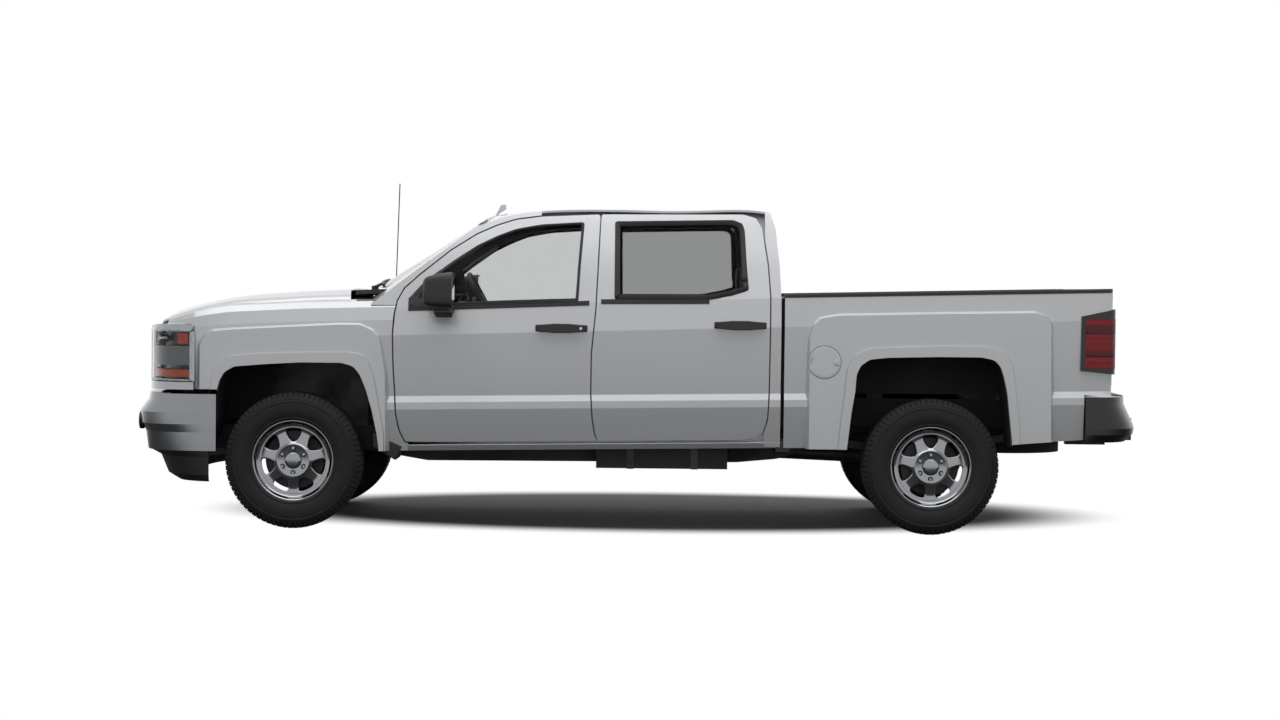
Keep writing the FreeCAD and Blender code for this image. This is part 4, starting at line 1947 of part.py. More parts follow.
def main():
    for build in (
        cab, hood, fenders, nose, liners, bed, doors, frame, wheels, running_gear, interior, fittings,
        underside,
    ):
        build()
    doc.recompute()
    for item in doc.Objects:
        if "Invalid" in item.State or "Error" in item.State:
            raise RuntimeError(f"{item.Label} failed")
    os.makedirs("parts", exist_ok=True)
    for node in nodes:
        if node.Shape.isNull() or not node.Shape.isValid():
            raise RuntimeError(f"{node.Label} has no valid shape")
        node.Shape.exportStep(f"parts/{node.Label}.step")


main()
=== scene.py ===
import json
import math

import bmesh
import bpy
from mathutils import Matrix, Vector
from mathutils.bvhtree import BVHTree

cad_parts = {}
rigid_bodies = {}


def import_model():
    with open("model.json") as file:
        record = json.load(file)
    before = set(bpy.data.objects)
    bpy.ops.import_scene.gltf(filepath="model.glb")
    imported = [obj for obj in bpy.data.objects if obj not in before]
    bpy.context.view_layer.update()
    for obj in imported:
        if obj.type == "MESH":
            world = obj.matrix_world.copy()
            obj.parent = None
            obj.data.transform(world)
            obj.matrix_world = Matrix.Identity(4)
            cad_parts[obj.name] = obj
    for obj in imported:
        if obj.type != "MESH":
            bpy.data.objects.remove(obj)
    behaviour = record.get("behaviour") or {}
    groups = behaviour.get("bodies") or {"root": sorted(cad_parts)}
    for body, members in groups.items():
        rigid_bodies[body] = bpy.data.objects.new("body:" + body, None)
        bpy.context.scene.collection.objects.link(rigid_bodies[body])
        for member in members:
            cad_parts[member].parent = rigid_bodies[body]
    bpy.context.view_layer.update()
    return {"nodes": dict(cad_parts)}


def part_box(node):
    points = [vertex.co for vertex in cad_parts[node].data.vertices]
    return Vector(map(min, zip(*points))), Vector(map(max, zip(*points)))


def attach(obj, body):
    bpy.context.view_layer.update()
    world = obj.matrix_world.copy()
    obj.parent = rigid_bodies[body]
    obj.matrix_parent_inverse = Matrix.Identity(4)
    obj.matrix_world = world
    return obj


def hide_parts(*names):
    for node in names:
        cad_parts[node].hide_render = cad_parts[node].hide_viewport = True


for left_over in list(bpy.data.objects):
    bpy.data.objects.remove(left_over)
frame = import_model()


# The ladder frame: two pressed steel rails with crossmembers welded between them. The whole frame
# is dipped in black wax, which dries dull and uneven and holds a film of road dust.
def linear(code):
    """The linear colour of an sRGB hex value."""
    parts = [int(code[start:start + 2], 16) / 255 for start in (1, 3, 5)]
    return [c / 12.92 if c <= 0.04045 else ((c + 0.055) / 1.055) ** 2.4 for c in parts] + [1.0]


def add_node(tree, kind, inputs=(), **settings):
    """Adds a node with its settings; each input gets a value, or a link from another node's output."""
    made = tree.nodes.new(kind)
    for name, value in settings.items():
        setattr(made, name, value)
    for name, value in dict(inputs).items():
        if isinstance(value, bpy.types.NodeSocket):
            tree.links.new(value, made.inputs[name])
        else:
            made.inputs[name].default_value = value
    return made


def finish_of(name, surface):
    """A material with one shader, and that shader's tree, to which patterns can be added."""
    material = bpy.data.materials.new(name)
    material.use_nodes = True
    tree = material.node_tree
    tree.nodes.clear()
    shader = add_node(tree, "ShaderNodeBsdfPrincipled", surface)
    add_node(tree, "ShaderNodeOutputMaterial", {"Surface": shader.outputs[0]})
    return material, tree, shader


def coated_steel(name, colour, dust, roughness, grain_mm):
    """Steel under a dull coat: dust lies in soft patches, and the coat has small runs and pits."""
    material, tree, shader = finish_of(name, {"IOR": 1.5})
    # A pattern's scale is 1000 over the size of its features in millimetres, here and below.
    place = add_node(tree, "ShaderNodeTexCoord").outputs["Object"]
    patches = add_node(tree, "ShaderNodeTexNoise", {"Vector": place, "Scale": 1000 / 180, "Detail": 6.0})
    spread = {"Value": patches.outputs[0], "From Min": 0.42, "From Max": 0.72}
    amount = add_node(tree, "ShaderNodeMapRange", spread).outputs[0]
    tone = {0: amount, 6: linear(colour), 7: linear(dust)}
    tone = add_node(tree, "ShaderNodeMix", tone, data_type="RGBA").outputs[2]
    tree.links.new(tone, shader.inputs["Base Color"])
    worn = {"Value": amount, "To Min": roughness, "To Max": roughness + 0.25}
    tree.links.new(add_node(tree, "ShaderNodeMapRange", worn).outputs[0], shader.inputs["Roughness"])
    pits = add_node(tree, "ShaderNodeTexNoise", {"Vector": place, "Scale": 1000 / grain_mm, "Detail": 2.0})
    bump = add_node(tree, "ShaderNodeBump", {"Height": pits.outputs[0], "Strength": 0.6, "Distance": 0.0006})
    tree.links.new(bump.outputs[0], shader.inputs["Normal"])
    return material


def clothe(material, *names):
    """Gives CAD nodes their finish."""
    for name in names:
        data = frame["nodes"][name].data
        data.materials.clear()
        data.materials.append(material)


frame_wax = coated_steel("black_frame_wax", "#17181a", "#35332f", 0.5, 5)
clothe(frame_wax, "frame")


# The running gear: welded axle tube, forged arms and stacked spring leaves in satin black paint,
# with a drawn steel shaft, oily grey, and cast iron knuckles that have browned. The exhaust is bent
# from aluminised steel, dull grey and stained by heat.
chassis_paint = coated_steel("satin_chassis_paint", "#1d1e20", "#3a3833", 0.45, 3)
clothe(chassis_paint, "rear_axle", "front_suspension", "leaf_springs")
bare_steel = coated_steel("oiled_steel", "#4b4c4e", "#3b352e", 0.4, 2)
clothe(bare_steel, "driveshaft")
cast_iron = coated_steel("cast_iron", "#3c3b3a", "#5a3f2c", 0.65, 2.5)
clothe(cast_iron, "knuckle_left", "knuckle_right")
aluminised = coated_steel("aluminised_steel", "#77756f", "#4f4438", 0.45, 4)
clothe(aluminised, "exhaust")


# The engine with its gearbox is an aluminium casting, grey and rough from the sand; the radiator is
# a dark core of thin fins. Both are seen only past the wheels and with the hood up.
cast_alloy = coated_steel("sand_cast_aluminium", "#6f7072", "#45433f", 0.55, 1.5)
clothe(cast_alloy, "engine")
clothe(coated_steel("radiator_fins", "#2b2c2e", "#1d1d1e", 0.5, 3), "radiator")


def riding(name, bm, material, body, sharp_degrees=None):
    """Turns a bmesh into a smooth object with its finish, which rides on a body. Edges sharper than
    the angle, if there is one, stay sharp."""
    mesh = bpy.data.meshes.new(name)
    bm.to_mesh(mesh)
    bm.free()
    mesh.shade_smooth()
    if sharp_degrees is not None:
        mesh.set_sharp_from_angle(angle=math.radians(sharp_degrees))
    mesh.materials.append(material)
    made = bpy.data.objects.new(name, mesh)
    bpy.context.scene.collection.objects.link(made)
    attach(made, body)
    return made


def piece(name, bm, material, body, bevel_mm=0, replaced=()):
    """A piece from a bmesh: its faces are turned outward and its sharp edges softened."""
    bmesh.ops.recalc_face_normals(bm, faces=bm.faces)
    made = riding(name, bm, material, body, 34)
    if bevel_mm:
        rounding = made.modifiers.new("edge_rounding", "BEVEL")
        rounding.width = bevel_mm / 1000
        rounding.segments = 2
        rounding.limit_method = "ANGLE"
    if replaced:
        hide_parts(*replaced)
    return made


def add_box(bm, low, high):
    """Adds a box between two corners."""
    low, high = Vector(low), Vector(high)
    place = Matrix.Translation((low + high) / 2) @ Matrix.Diagonal((*(high - low), 1))
    return bmesh.ops.create_cube(bm, size=1, matrix=place)["verts"]


def add_rod(bm, start, end, radius, sides=16, far_radius=None):
    """Adds a round rod, or a cone if its far end has another radius."""
    start, end = Vector(start), Vector(end)
    turn = (end - start).to_track_quat("Z", "Y").to_matrix().to_4x4()
    place = Matrix.Translation((start + end) / 2) @ turn
    far_radius = radius if far_radius is None else far_radius
    made = bmesh.ops.create_cone(
        bm, cap_ends=True, segments=sides, radius1=radius, radius2=far_radius, depth=(end - start).length,
        matrix=place,
    )
    return made["verts"]


engine_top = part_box("engine")[1].z
covers = bmesh.new()
for bank_y in (-0.20, 0.20):
    add_box(covers, (-2.20, bank_y - 0.05, engine_top - 0.01), (-1.78, bank_y + 0.05, engine_top + 0.035))
    for stud in range(4):
        foot = Vector((-2.16 + stud * 0.115, bank_y, engine_top + 0.034))
        add_rod(covers, foot, foot + Vector((0, 0, 0.008)), 0.009, 6)
add_box(covers, (-2.12, -0.09, engine_top - 0.01), (-1.86, 0.09, engine_top + 0.05))
piece("engine_covers", covers, cast_alloy, "chassis", 4)


# The fuel tank is blow-moulded polyethylene, held up by two steel straps. It is black and waxy,
# with a pebbled skin from the mould.
def moulded_plastic(name, colour, roughness, grain_mm, depth_mm):
    """Plastic from a grained mould: an even colour, faint cloudiness and a leather-like skin."""
    material, tree, shader = finish_of(name, {"IOR": 1.49})
    place = add_node(tree, "ShaderNodeTexCoord").outputs["Object"]
    cloud = add_node(tree, "ShaderNodeTexNoise", {"Vector": place, "Scale": 1000 / 220, "Detail": 3.0})
    lighter = [min(1.0, c * 1.35) for c in linear(colour)[:3]] + [1.0]
    tone = {0: cloud.outputs[0], 6: linear(colour), 7: lighter}
    tone = add_node(tree, "ShaderNodeMix", tone, data_type="RGBA").outputs[2]
    tree.links.new(tone, shader.inputs["Base Color"])
    shine = {"Value": cloud.outputs[0], "To Min": roughness - 0.06, "To Max": roughness + 0.08}
    tree.links.new(add_node(tree, "ShaderNodeMapRange", shine).outputs[0], shader.inputs["Roughness"])
    # The real grain is under a millimetre; it is drawn coarse enough to break up the gloss.
    grain = {"Vector": place, "Scale": 1000 / grain_mm}
    grain = add_node(tree, "ShaderNodeTexVoronoi", grain, feature="SMOOTH_F1").outputs[0]
    bump = {"Height": grain, "Strength": 0.5, "Distance": depth_mm / 1000}
    tree.links.new(add_node(tree, "ShaderNodeBump", bump).outputs[0], shader.inputs["Normal"])
    return material


tank_plastic = moulded_plastic("blow_moulded_polyethylene", "#131314", 0.55, 9, 0.4)
clothe(tank_plastic, "fuel_tank")
tank_low, tank_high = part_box("fuel_tank")
straps = bmesh.new()
for strap_x in (-0.03, 0.34):
    near = (strap_x - 0.02, tank_low.y - 0.003, tank_low.z - 0.003)
    add_box(straps, near, (strap_x + 0.02, tank_low.y + 0.001, 0.50))
    add_box(straps, near, (strap_x + 0.02, tank_high.y, tank_low.z + 0.001))
piece("tank_straps", straps, bare_steel, "chassis")


# The tyres: moulded black rubber, matt and slightly greyed by its bloom. The tread is cut into five
# rows of blocks with staggered shoulders, and the sidewall has a rim guard, a fine ridge and a step.
rubber, tree, shader = finish_of(
    "moulded_tyre_rubber", {"IOR": 1.5, "Roughness": 0.72, "Specular IOR Level": 0.35},
)
place = add_node(tree, "ShaderNodeTexCoord").outputs["Object"]
bloom = add_node(tree, "ShaderNodeTexNoise", {"Vector": place, "Scale": 1000 / 90, "Detail": 5.0}).outputs[0]
tone = {0: bloom, 6: linear("#141415"), 7: linear("#2a2a2b")}
tone = add_node(tree, "ShaderNodeMix", tone, data_type="RGBA").outputs[2]
tree.links.new(tone, shader.inputs["Base Color"])
pores = add_node(tree, "ShaderNodeTexNoise", {"Vector": place, "Scale": 1000 / 2.5, "Detail": 2.0}).outputs[0]
bump = add_node(tree, "ShaderNodeBump", {"Height": pores, "Strength": 0.5, "Distance": 0.0003})
tree.links.new(bump.outputs[0], shader.inputs["Normal"])
clothe(rubber, "spare_wheel")

# Each wheel: its name, its hub's x and y, and the side that it faces.
WHEELS = [
    ("front_left", -1.956, -0.873, -1), ("front_right", -1.956, 0.873, 1),
    ("rear_left", 1.689, -0.859, -1), ("rear_right", 1.689, 0.859, 1),
]
HUB_HEIGHT = 0.388
# A tyre's half section, from its bead to the middle of its tread: radius, and distance from the
# middle plane.
SIDEWALL = [
    (0.2345, 0.100), (0.2345, 0.108), (0.243, 0.115), (0.250, 0.1135), (0.262, 0.1195), (0.285, 0.1240),
    (0.300, 0.1248), (0.3215, 0.1240), (0.3225, 0.1225), (0.334, 0.1205), (0.3385, 0.1225), (0.343, 0.1200),
    (0.356, 0.1165), (0.366, 0.1085),
]
TREAD_BASE = [(0.3735, 0.094), (0.3765, 0.060), (0.3775, 0.0)]
TREAD_TOP = 0.3878
PITCHES = 76


def add_turned(bm, profile, steps):
    """Spins a closed profile of (radius, y) round the wheel's axis."""
    ring = [bm.verts.new((0, y, radius)) for radius, y in profile]
    edges = [bm.edges.new(pair) for pair in zip(ring, ring[1:] + ring[:1])]
    bmesh.ops.spin(
        bm, geom=ring + edges, cent=(0, 0, 0), axis=(0, 1, 0), dvec=(0, 0, 0), angle=math.tau, steps=steps,
        use_merge=True,
    )


def spread_round(bm, verts, count):
    """Repeats the faces of these vertices round the wheel's axis."""
    faces = {face for vert in verts for face in vert.link_faces}
    edges = {edge for face in faces for edge in face.edges}
    bmesh.ops.spin(
        bm, geom=list(verts) + list(edges) + list(faces), cent=(0, 0, 0), axis=(0, 1, 0), dvec=(0, 0, 0),
        angle=math.tau * (count - 1) / count, steps=count - 1, use_duplicate=True,
    )


def add_block(bm, y1, y2, foot, top, length, turn, skew=0.0):
    """One tread block between two widths, turned round the axis."""
    verts = add_box(bm, (-length / 2, min(y1, y2), foot), (length / 2, max(y1, y2), top))
    for vert in verts:
        vert.co.x += skew * (vert.co.y - y1)
    bmesh.ops.rotate(bm, verts=verts, cent=(0, 0, 0), matrix=Matrix.Rotation(turn, 3, "Y"))
    return verts


half = SIDEWALL + TREAD_BASE
tyre_section = half + [(radius, -y) for radius, y in half[-2::-1]]
pitch = math.tau / PITCHES
for name, hub_x, hub_y, _ in WHEELS:
    tyre = bmesh.new()
    add_turned(tyre, tyre_section, 96)
    blocks = []
    for side in (-1, 1):
        stagger = 0 if side > 0 else pitch / 2
        shoulder = add_block(tyre, side * 0.064, side * 0.104, 0.366, TREAD_TOP, 0.0265, stagger)
        for vert in shoulder:
            if abs(vert.co.y) > 0.09 and vert.co.xz.length > 0.38:
                vert.co.y = side * 0.094
        lug = add_block(tyre, side * 0.094, side * 0.1205, 0.352, 0.3735, 0.021, stagger)
        for vert in lug:
            if abs(vert.co.y) > 0.11 and vert.co.xz.length > 0.365:
                vert.co.y = side * 0.110
        turn = stagger + pitch / 3
        row = add_block(tyre, side * 0.026, side * 0.057, 0.372, TREAD_TOP, 0.025, turn, side * 0.35)
        blocks += shoulder + lug + row
    blocks += add_block(tyre, -0.019, 0.019, 0.372, TREAD_TOP + 0.0002, 0.0265, pitch / 5, 0.3)
    spread_round(tyre, blocks, PITCHES)
    bmesh.ops.translate(tyre, verts=tyre.verts, vec=(hub_x, hub_y, HUB_HEIGHT))
    piece(f"tyre_carcass_{name}", tyre, rubber, f"{name}_wheel", 0, [f"tyre_{name}"])


# The wheels: pressed steel, painted a dull dark grey, under a clipped-on chromed plastic face with
# seven half-moon windows, six lug nuts and a plain domed cap. The plating is mirror-like with faint
# waves, and the turned iron of the brake disc shows dark behind it.
def plated(name, colour, roughness, wave_mm=70):
    """Chrome plate: a mirror that ripples with the sheet under it."""
    material, tree, shader = finish_of(name, {"Base Color": linear(colour), "Metallic": 1.0})
    place = add_node(tree, "ShaderNodeTexCoord").outputs["Object"]
    haze = {"Vector": place, "Scale": 1000 / wave_mm, "Detail": 3.0}
    haze = add_node(tree, "ShaderNodeTexNoise", haze).outputs[0]
    shine = {"Value": haze, "To Min": roughness * 0.6, "To Max": roughness * 1.6}
    tree.links.new(add_node(tree, "ShaderNodeMapRange", shine).outputs[0], shader.inputs["Roughness"])
    bump = {"Height": haze, "Strength": 0.25, "Distance": 0.0015}
    tree.links.new(add_node(tree, "ShaderNodeBump", bump).outputs[0], shader.inputs["Normal"])
    return material


wheel_chrome = plated("chromed_wheel_face", "#8f9194", 0.1)
wheel_steel = coated_steel("painted_wheel_steel", "#3a3b3d", "#2d2b28", 0.5, 2)
brake_iron = coated_steel("machined_brake_iron", "#2e2d2c", "#2b2420", 0.45, 2)
WINDOW_COUNT = 7
HALF_SECTOR = 180 / WINDOW_COUNT
# The face is drawn one window at a time, on a grid whose middle third is the window.
COLUMNS = 12
THIRD = COLUMNS // 3
# Its rings from its lip to its hub: radius, distance out from the wheel's middle plane, and half the
# width of a window there, in degrees.
FACE_RINGS = [
    (0.2335, 0.0980, 14.0), (0.2320, 0.1045, 14.0), (0.2270, 0.1055, 14.0), (0.2215, 0.1010, 14.0),
    (0.2140, 0.0880, 14.5), (0.2060, 0.0800, 15.0), (0.1960, 0.0765, 13.0), (0.1890, 0.0775, 12.0),
    (0.1830, 0.0765, 13.0), (0.1760, 0.0745, 14.8), (0.1660, 0.0735, 15.6), (0.1520, 0.0745, 15.2),
    (0.1370, 0.0770, 13.6), (0.1230, 0.0805, 10.5), (0.1110, 0.0840, 6.5), (0.1000, 0.0880, 6.0),
    (0.0960, 0.0935, 6.0), (0.0920, 0.0950, 6.0), (0.0860, 0.0930, 6.0), (0.0500, 0.0900, 6.0),
    (0.0460, 0.0900, 6.0),
]
ROWS = len(FACE_RINGS) - 1
WINDOW_RINGS = (8, 14)
BARREL = [
    (0.2340, 0.1060), (0.2290, 0.1040), (0.2260, 0.0960), (0.2130, 0.0750), (0.2060, 0.0500),
    (0.2000, 0.0200), (0.2060, -0.0700), (0.2240, -0.0980), (0.2290, -0.1060), (0.2340, -0.1060),
    (0.2340, -0.0980), (0.2110, -0.0700), (0.2050, 0.0200), (0.2120, 0.0560), (0.2345, 0.0960),
]
LUG_COUNT = 6
LUG_CIRCLE = 0.070
VALVE_CIRCLE = 0.2195


def wheel_piece(kind, bm, wheel, material, bevel_mm=0, replaced=()):
    """A piece of one wheel, drawn at the origin facing right, turned to its side and moved to its hub."""
    name, hub_x, hub_y, sign = wheel
    if sign < 0:
        bmesh.ops.rotate(bm, verts=bm.verts, cent=(0, 0, 0), matrix=Matrix.Rotation(math.pi, 3, "Z"))
    bmesh.ops.translate(bm, verts=bm.verts, vec=(hub_x, hub_y, HUB_HEIGHT))
    return piece(f"{kind}_{name}", bm, material, f"{name}_wheel", bevel_mm, replaced)


def on_circle(radius, angle, out):
    """A point of the wheel: its distance from the axis, its angle and how far out it lies."""
    return Vector((radius * math.sin(angle), out, radius * math.cos(angle)))


for wheel in WHEELS:
    face = bmesh.new()
    bmesh.ops.create_grid(face, x_segments=COLUMNS, y_segments=ROWS, size=1)
    inside = []
    for cell in face.faces:
        middle = cell.calc_center_median()
        column = (middle.x + 1) / 2 * COLUMNS
        row = (middle.y + 1) / 2 * ROWS
        if THIRD < column < COLUMNS - THIRD and WINDOW_RINGS[0] < row < WINDOW_RINGS[1]:
            inside.append(cell)
    bmesh.ops.delete(face, geom=inside, context="FACES")
    for vert in face.verts:
        column = (vert.co.x + 1) / 2 * COLUMNS
        radius, out, opening = FACE_RINGS[round((vert.co.y + 1) / 2 * ROWS)]
        if column < THIRD:
            angle = -HALF_SECTOR + (HALF_SECTOR - opening) * column / THIRD
        elif column > COLUMNS - THIRD:
            angle = HALF_SECTOR - (HALF_SECTOR - opening) * (COLUMNS - column) / THIRD
        else:
            angle = opening * (column - COLUMNS / 2) / (THIRD / 2)
        vert.co = on_circle(radius, math.radians(angle), out)
    spread_round(face, face.verts[:], WINDOW_COUNT)
    bmesh.ops.remove_doubles(face, verts=face.verts, dist=0.0003)
    edge = [item for item in face.edges if item.is_boundary]
    rims = [item for item in edge if 0.10 < item.verts[0].co.xz.length < 0.20]
    deeper = bmesh.ops.extrude_edge_only(face, edges=rims)["geom"]
    deeper = [item for item in deeper if isinstance(item, bmesh.types.BMVert)]
    bmesh.ops.translate(face, verts=deeper, vec=(0, -0.014, 0))
    made = wheel_piece("wheel_face", face, wheel, wheel_chrome, 0, [f"rim_{wheel[0]}"])
    wall = made.modifiers.new("wall", "SOLIDIFY")
    wall.thickness = 0.0025
    wall.offset = -1
    soft = made.modifiers.new("soft_pressing", "SUBSURF")
    soft.levels = soft.render_levels = 1

    barrel = bmesh.new()
    add_turned(barrel, BARREL, 64)
    wheel_piece("wheel_barrel", barrel, wheel, wheel_steel)

    hub = bmesh.new()
    add_rod(hub, (0, 0.080, 0), (0, 0.097, 0), 0.0455, 40)
    add_rod(hub, (0, 0.097, 0), (0, 0.1035, 0), 0.0450, 40, 0.034)
    wheel_piece("hub_cap", hub, wheel, wheel_chrome, 2)
    nuts, pockets = bmesh.new(), bmesh.new()
    for number in range(LUG_COUNT):
        turn = math.tau * number / LUG_COUNT
        foot, bottom, rim, tip = (on_circle(LUG_CIRCLE, turn, out) for out in (0.088, 0.0885, 0.0925, 0.103))
        add_rod(nuts, foot, tip, 0.0105, 6, 0.0088)
        add_rod(pockets, bottom, rim, 0.0160, 20)
    wheel_piece("lug_nuts", nuts, wheel, wheel_chrome, 1)
    wheel_piece("lug_pockets", pockets, wheel, wheel_steel, 1)

    brake = bmesh.new()
    add_rod(brake, (0, 0.000, 0), (0, 0.014, 0), 0.168, 48)
    add_rod(brake, (0, 0.014, 0), (0, 0.070, 0), 0.088, 40)
    wheel_piece("brake_disc", brake, wheel, brake_iron, 2)

    valve = bmesh.new()
    add_rod(valve, on_circle(VALVE_CIRCLE, 1.0, 0.070), on_circle(VALVE_CIRCLE, 1.0, 0.104), 0.0045, 10)
    wheel_piece("valve", valve, wheel, rubber)


# The painted panels: pressed steel sheets, spot welded, under a silver base coat with aluminium
# flakes and a clear lacquer. The lacquer is glossy over a slightly sparkling grey.
def silver_clearcoat(name, trim_and_shade=None):
    """Silver paint. Its last argument says where it gives way to another colour, a trim's or a painted
    shade's: by which coordinates, along what direction, whether both sides of the truck are alike, under what
    limit, and the colour and roughness found there."""
    surface = {
        "Coat Weight": 1.0, "Coat Roughness": 0.05, "Coat IOR": 1.5, "IOR": 1.5,
        "Metallic": 0.35, "Roughness": 0.35,
    }
    material, tree, shader = finish_of(name, surface)
    coordinates = add_node(tree, "ShaderNodeTexCoord").outputs
    # Real flakes are a twentieth of a millimetre; these are drawn fourteen times as coarse, to show.
    flakes = add_node(tree, "ShaderNodeTexVoronoi", {"Vector": coordinates["Object"], "Scale": 1000 / 0.7})
    tone = {0: flakes.outputs["Distance"], 6: linear("#c8cacd"), 7: linear("#b6b8bb")}
    paint = add_node(tree, "ShaderNodeMix", tone, data_type="RGBA").outputs[2]
    if trim_and_shade is None:
        tree.links.new(paint, shader.inputs["Base Color"])
    else:
        source, direction, mirrored, limit, colour, roughness = trim_and_shade
        facing = {0: coordinates[source], 1: direction}
        facing = add_node(tree, "ShaderNodeVectorMath", facing, operation="DOT_PRODUCT").outputs["Value"]
        if mirrored:
            place = add_node(tree, "ShaderNodeSeparateXYZ", {0: coordinates["Object"]}).outputs[1]
            side = add_node(tree, "ShaderNodeMath", {0: place}, operation="SIGN").outputs[0]
            facing = add_node(tree, "ShaderNodeMath", {0: facing, 1: side}, operation="MULTIPLY").outputs[0]
        inside = add_node(tree, "ShaderNodeMath", {0: facing, 1: limit}, operation="LESS_THAN").outputs[0]
        colours = {0: inside, 6: paint, 7: linear(colour)}
        colours = add_node(tree, "ShaderNodeMix", colours, data_type="RGBA").outputs[2]
        tree.links.new(colours, shader.inputs["Base Color"])
        for socket, within in (("Metallic", 0.0), ("Roughness", roughness), ("Coat Weight", 0.0)):
            level = {"Value": inside, "To Min": surface[socket], "To Max": within}
            level = add_node(tree, "ShaderNodeMapRange", level).outputs[0]
            tree.links.new(level, shader.inputs[socket])
    # The lacquer dries with a faint orange peel, about a centimetre from crest to crest.
    peel = {"Vector": coordinates["Object"], "Scale": 1000 / 11, "Detail": 1.0}
    peel = add_node(tree, "ShaderNodeTexNoise", peel).outputs[0]
    bump = add_node(tree, "ShaderNodeBump", {"Height": peel, "Strength": 0.05, "Distance": 0.0004})
    tree.links.new(bump.outputs[0], shader.inputs["Coat Normal"])
    return material


panel_paint = silver_clearcoat("silver_clearcoat")
# Faces that point down are painted a darker, dull grey: painted shade.
painted_shade_below = ("Normal", (0, 0, 1), False, -0.6, "#5d5f61", 0.6)
paint_with_shade_below = silver_clearcoat("silver_clearcoat_painted_shade_below", painted_shade_below)
clothe(paint_with_shade_below, "hood", "fenders", "nose_strips", "bed_sides")
# Below a line that rises with the floor to the rear, the bed floor's sills and beams are painted near black:
# painted shade.
painted_shade_line = ("Object", (-0.02606, 0, 1), False, 0.811, "#191a1b", 0.6)
clothe(silver_clearcoat("silver_bed_over_painted_shade", painted_shade_line), "bed_floor")
clothe(panel_paint, "tailgate")
# Inside the cab the same sheets carry dark trim, and a pale woven headliner under the roof.
door_trim = ("Normal", (0, 1, 0), True, -0.35, "#232325", 0.7)
doors = [f"door_{end}_{side}" for end in ("front", "rear") for side in ("left", "right")]
clothe(silver_clearcoat("silver_clearcoat_and_trim", door_trim), "cab_sides", *doors)
headliner = ("Normal", (0, 0, 1), False, -0.3, "#8a8883", 0.95)
clothe(silver_clearcoat("silver_clearcoat_and_headliner", headliner), "roof")
back_trim = ("Normal", (1, 0, 0), False, -0.3, "#2a2a2c", 0.85)
clothe(silver_clearcoat("silver_clearcoat_and_back_trim", back_trim), "cab_back")


# The exterior black parts: grained polypropylene mouldings, clipped on, bare of paint and dull. The
# wheelhouse liners are felted and darker, and the cab's floor has a needled carpet without shine.
trim_black = moulded_plastic("grained_polypropylene", "#161718", 0.48, 3, 0.12)
liner_black = moulded_plastic("felted_liner_plastic", "#0f0f10", 0.8, 6, 0.5)
clothe(trim_black, "cowl", "rail_caps", "front_valance")
clothe(liner_black, "front_liners", "rear_liners")
carpet = moulded_plastic("needled_carpet", "#1c1c1e", 0.95, 3, 0.6)
clothe(carpet, "cab_floor")


# The window glass: tempered soda-lime panes, bonded in or let down into the doors. The front ones
# are clear with a faint tint, and those of the rear doors are smoked.
def window_pane(name, colour):
    """A clear pane: what it takes from the light is its tint, once for each face."""
    surface = {"Base Color": linear(colour), "Transmission Weight": 1.0, "Roughness": 0.0, "IOR": 1.15}
    return finish_of(name, surface)[0]


clothe(window_pane("clear_tempered_glass", "#dddfde"), "fixed_glass", "glass_front_left", "glass_front_right")
clothe(window_pane("smoked_tempered_glass", "#bebfbf"), "glass_rear_left", "glass_rear_right")


# The window seals: extruded rubber pushed onto the flange round each opening, and a longer belt
# strip under the glass that wipes it. They are matt black and stand a little proud of the door skin.
seal_rubber = moulded_plastic("extruded_seal_rubber", "#0d0d0e", 0.6, 4, 0.1)
SIDES = (("left", -1), ("right", 1))
# A look at the truck from the side starts at the first distance from its middle plane. The skins lie
# beyond the second, and a point that meets nothing is put at the third.
LOOK_FROM, SKIN_BEYOND, NO_SKIN = 1.4, 0.7, 0.9
surfaces = {}


def touch(node, origin, direction):
    """Where a straight look from a point first meets a CAD node, or None."""
    if node not in surfaces:
        data = frame["nodes"][node].data
        corners = [vert.co for vert in data.vertices]
        surfaces[node] = BVHTree.FromPolygons(corners, [face.vertices for face in data.polygons])
    return surfaces[node].ray_cast(Vector(origin), Vector(direction))[0]


def lay_on(bm, node, sign, lift, centre=None):
    """Moves flat geometry onto a node's outer side; a point over an opening takes the skin beside it."""
    for vert in bm.verts:
        x, z = vert.co.x, vert.co.z
        for _ in range(9):
            hit = touch(node, (x, sign * LOOK_FROM, z), (0, -sign, 0))
            if hit is not None and abs(hit.y) > SKIN_BEYOND or centre is None:
                break
            x += (x - centre[0]) * 0.02
            z += (z - centre[1]) * 0.03
        vert.co.y = (hit.y if hit is not None else sign * NO_SKIN) + sign * lift


def thicken(made, depth_mm):
    """Gives a laid-on skin its thickness, inward."""
    wall = made.modifiers.new("wall", "SOLIDIFY")
    wall.thickness = depth_mm / 1000
    wall.offset = -1
    made.modifiers.new("flat_faces_shade_flat", "WEIGHTED_NORMAL")
    return made


WINDOWS = {
    "front": [
        (-1.301, 1.272), (-1.301, 1.316), (-1.213, 1.419), (-1.069, 1.531), (-0.924, 1.629), (-0.807, 1.687),
        (-0.704, 1.727), (-0.557, 1.755), (-0.306, 1.772), (-0.325, 1.516), (-0.335, 1.312),
    ],
    "rear": [
        (-0.132, 1.778), (0.550, 1.793), (0.602, 1.772), (0.616, 1.732), (0.627, 1.527), (0.639, 1.387),
        (0.544, 1.357), (0.413, 1.331), (-0.129, 1.327),
    ],
}
BELTS = {"front": [(-1.305, 1.266), (-0.272, 1.309)], "rear": [(-0.205, 1.318), (0.413, 1.325)]}
SEAL_WIDTHS = {"front": 0.016, "rear": 0.030}


def laid_piece(name, bm, sign, material, body, depth_mm):
    """A flat skin laid on a side, finished with its faces outward and its thickness inward."""
    bm.normal_update()
    wrong = [face for face in bm.faces if face.normal.y * sign < 0]
    bmesh.ops.reverse_faces(bm, faces=wrong)
    return thicken(riding(name, bm, material, body), depth_mm)


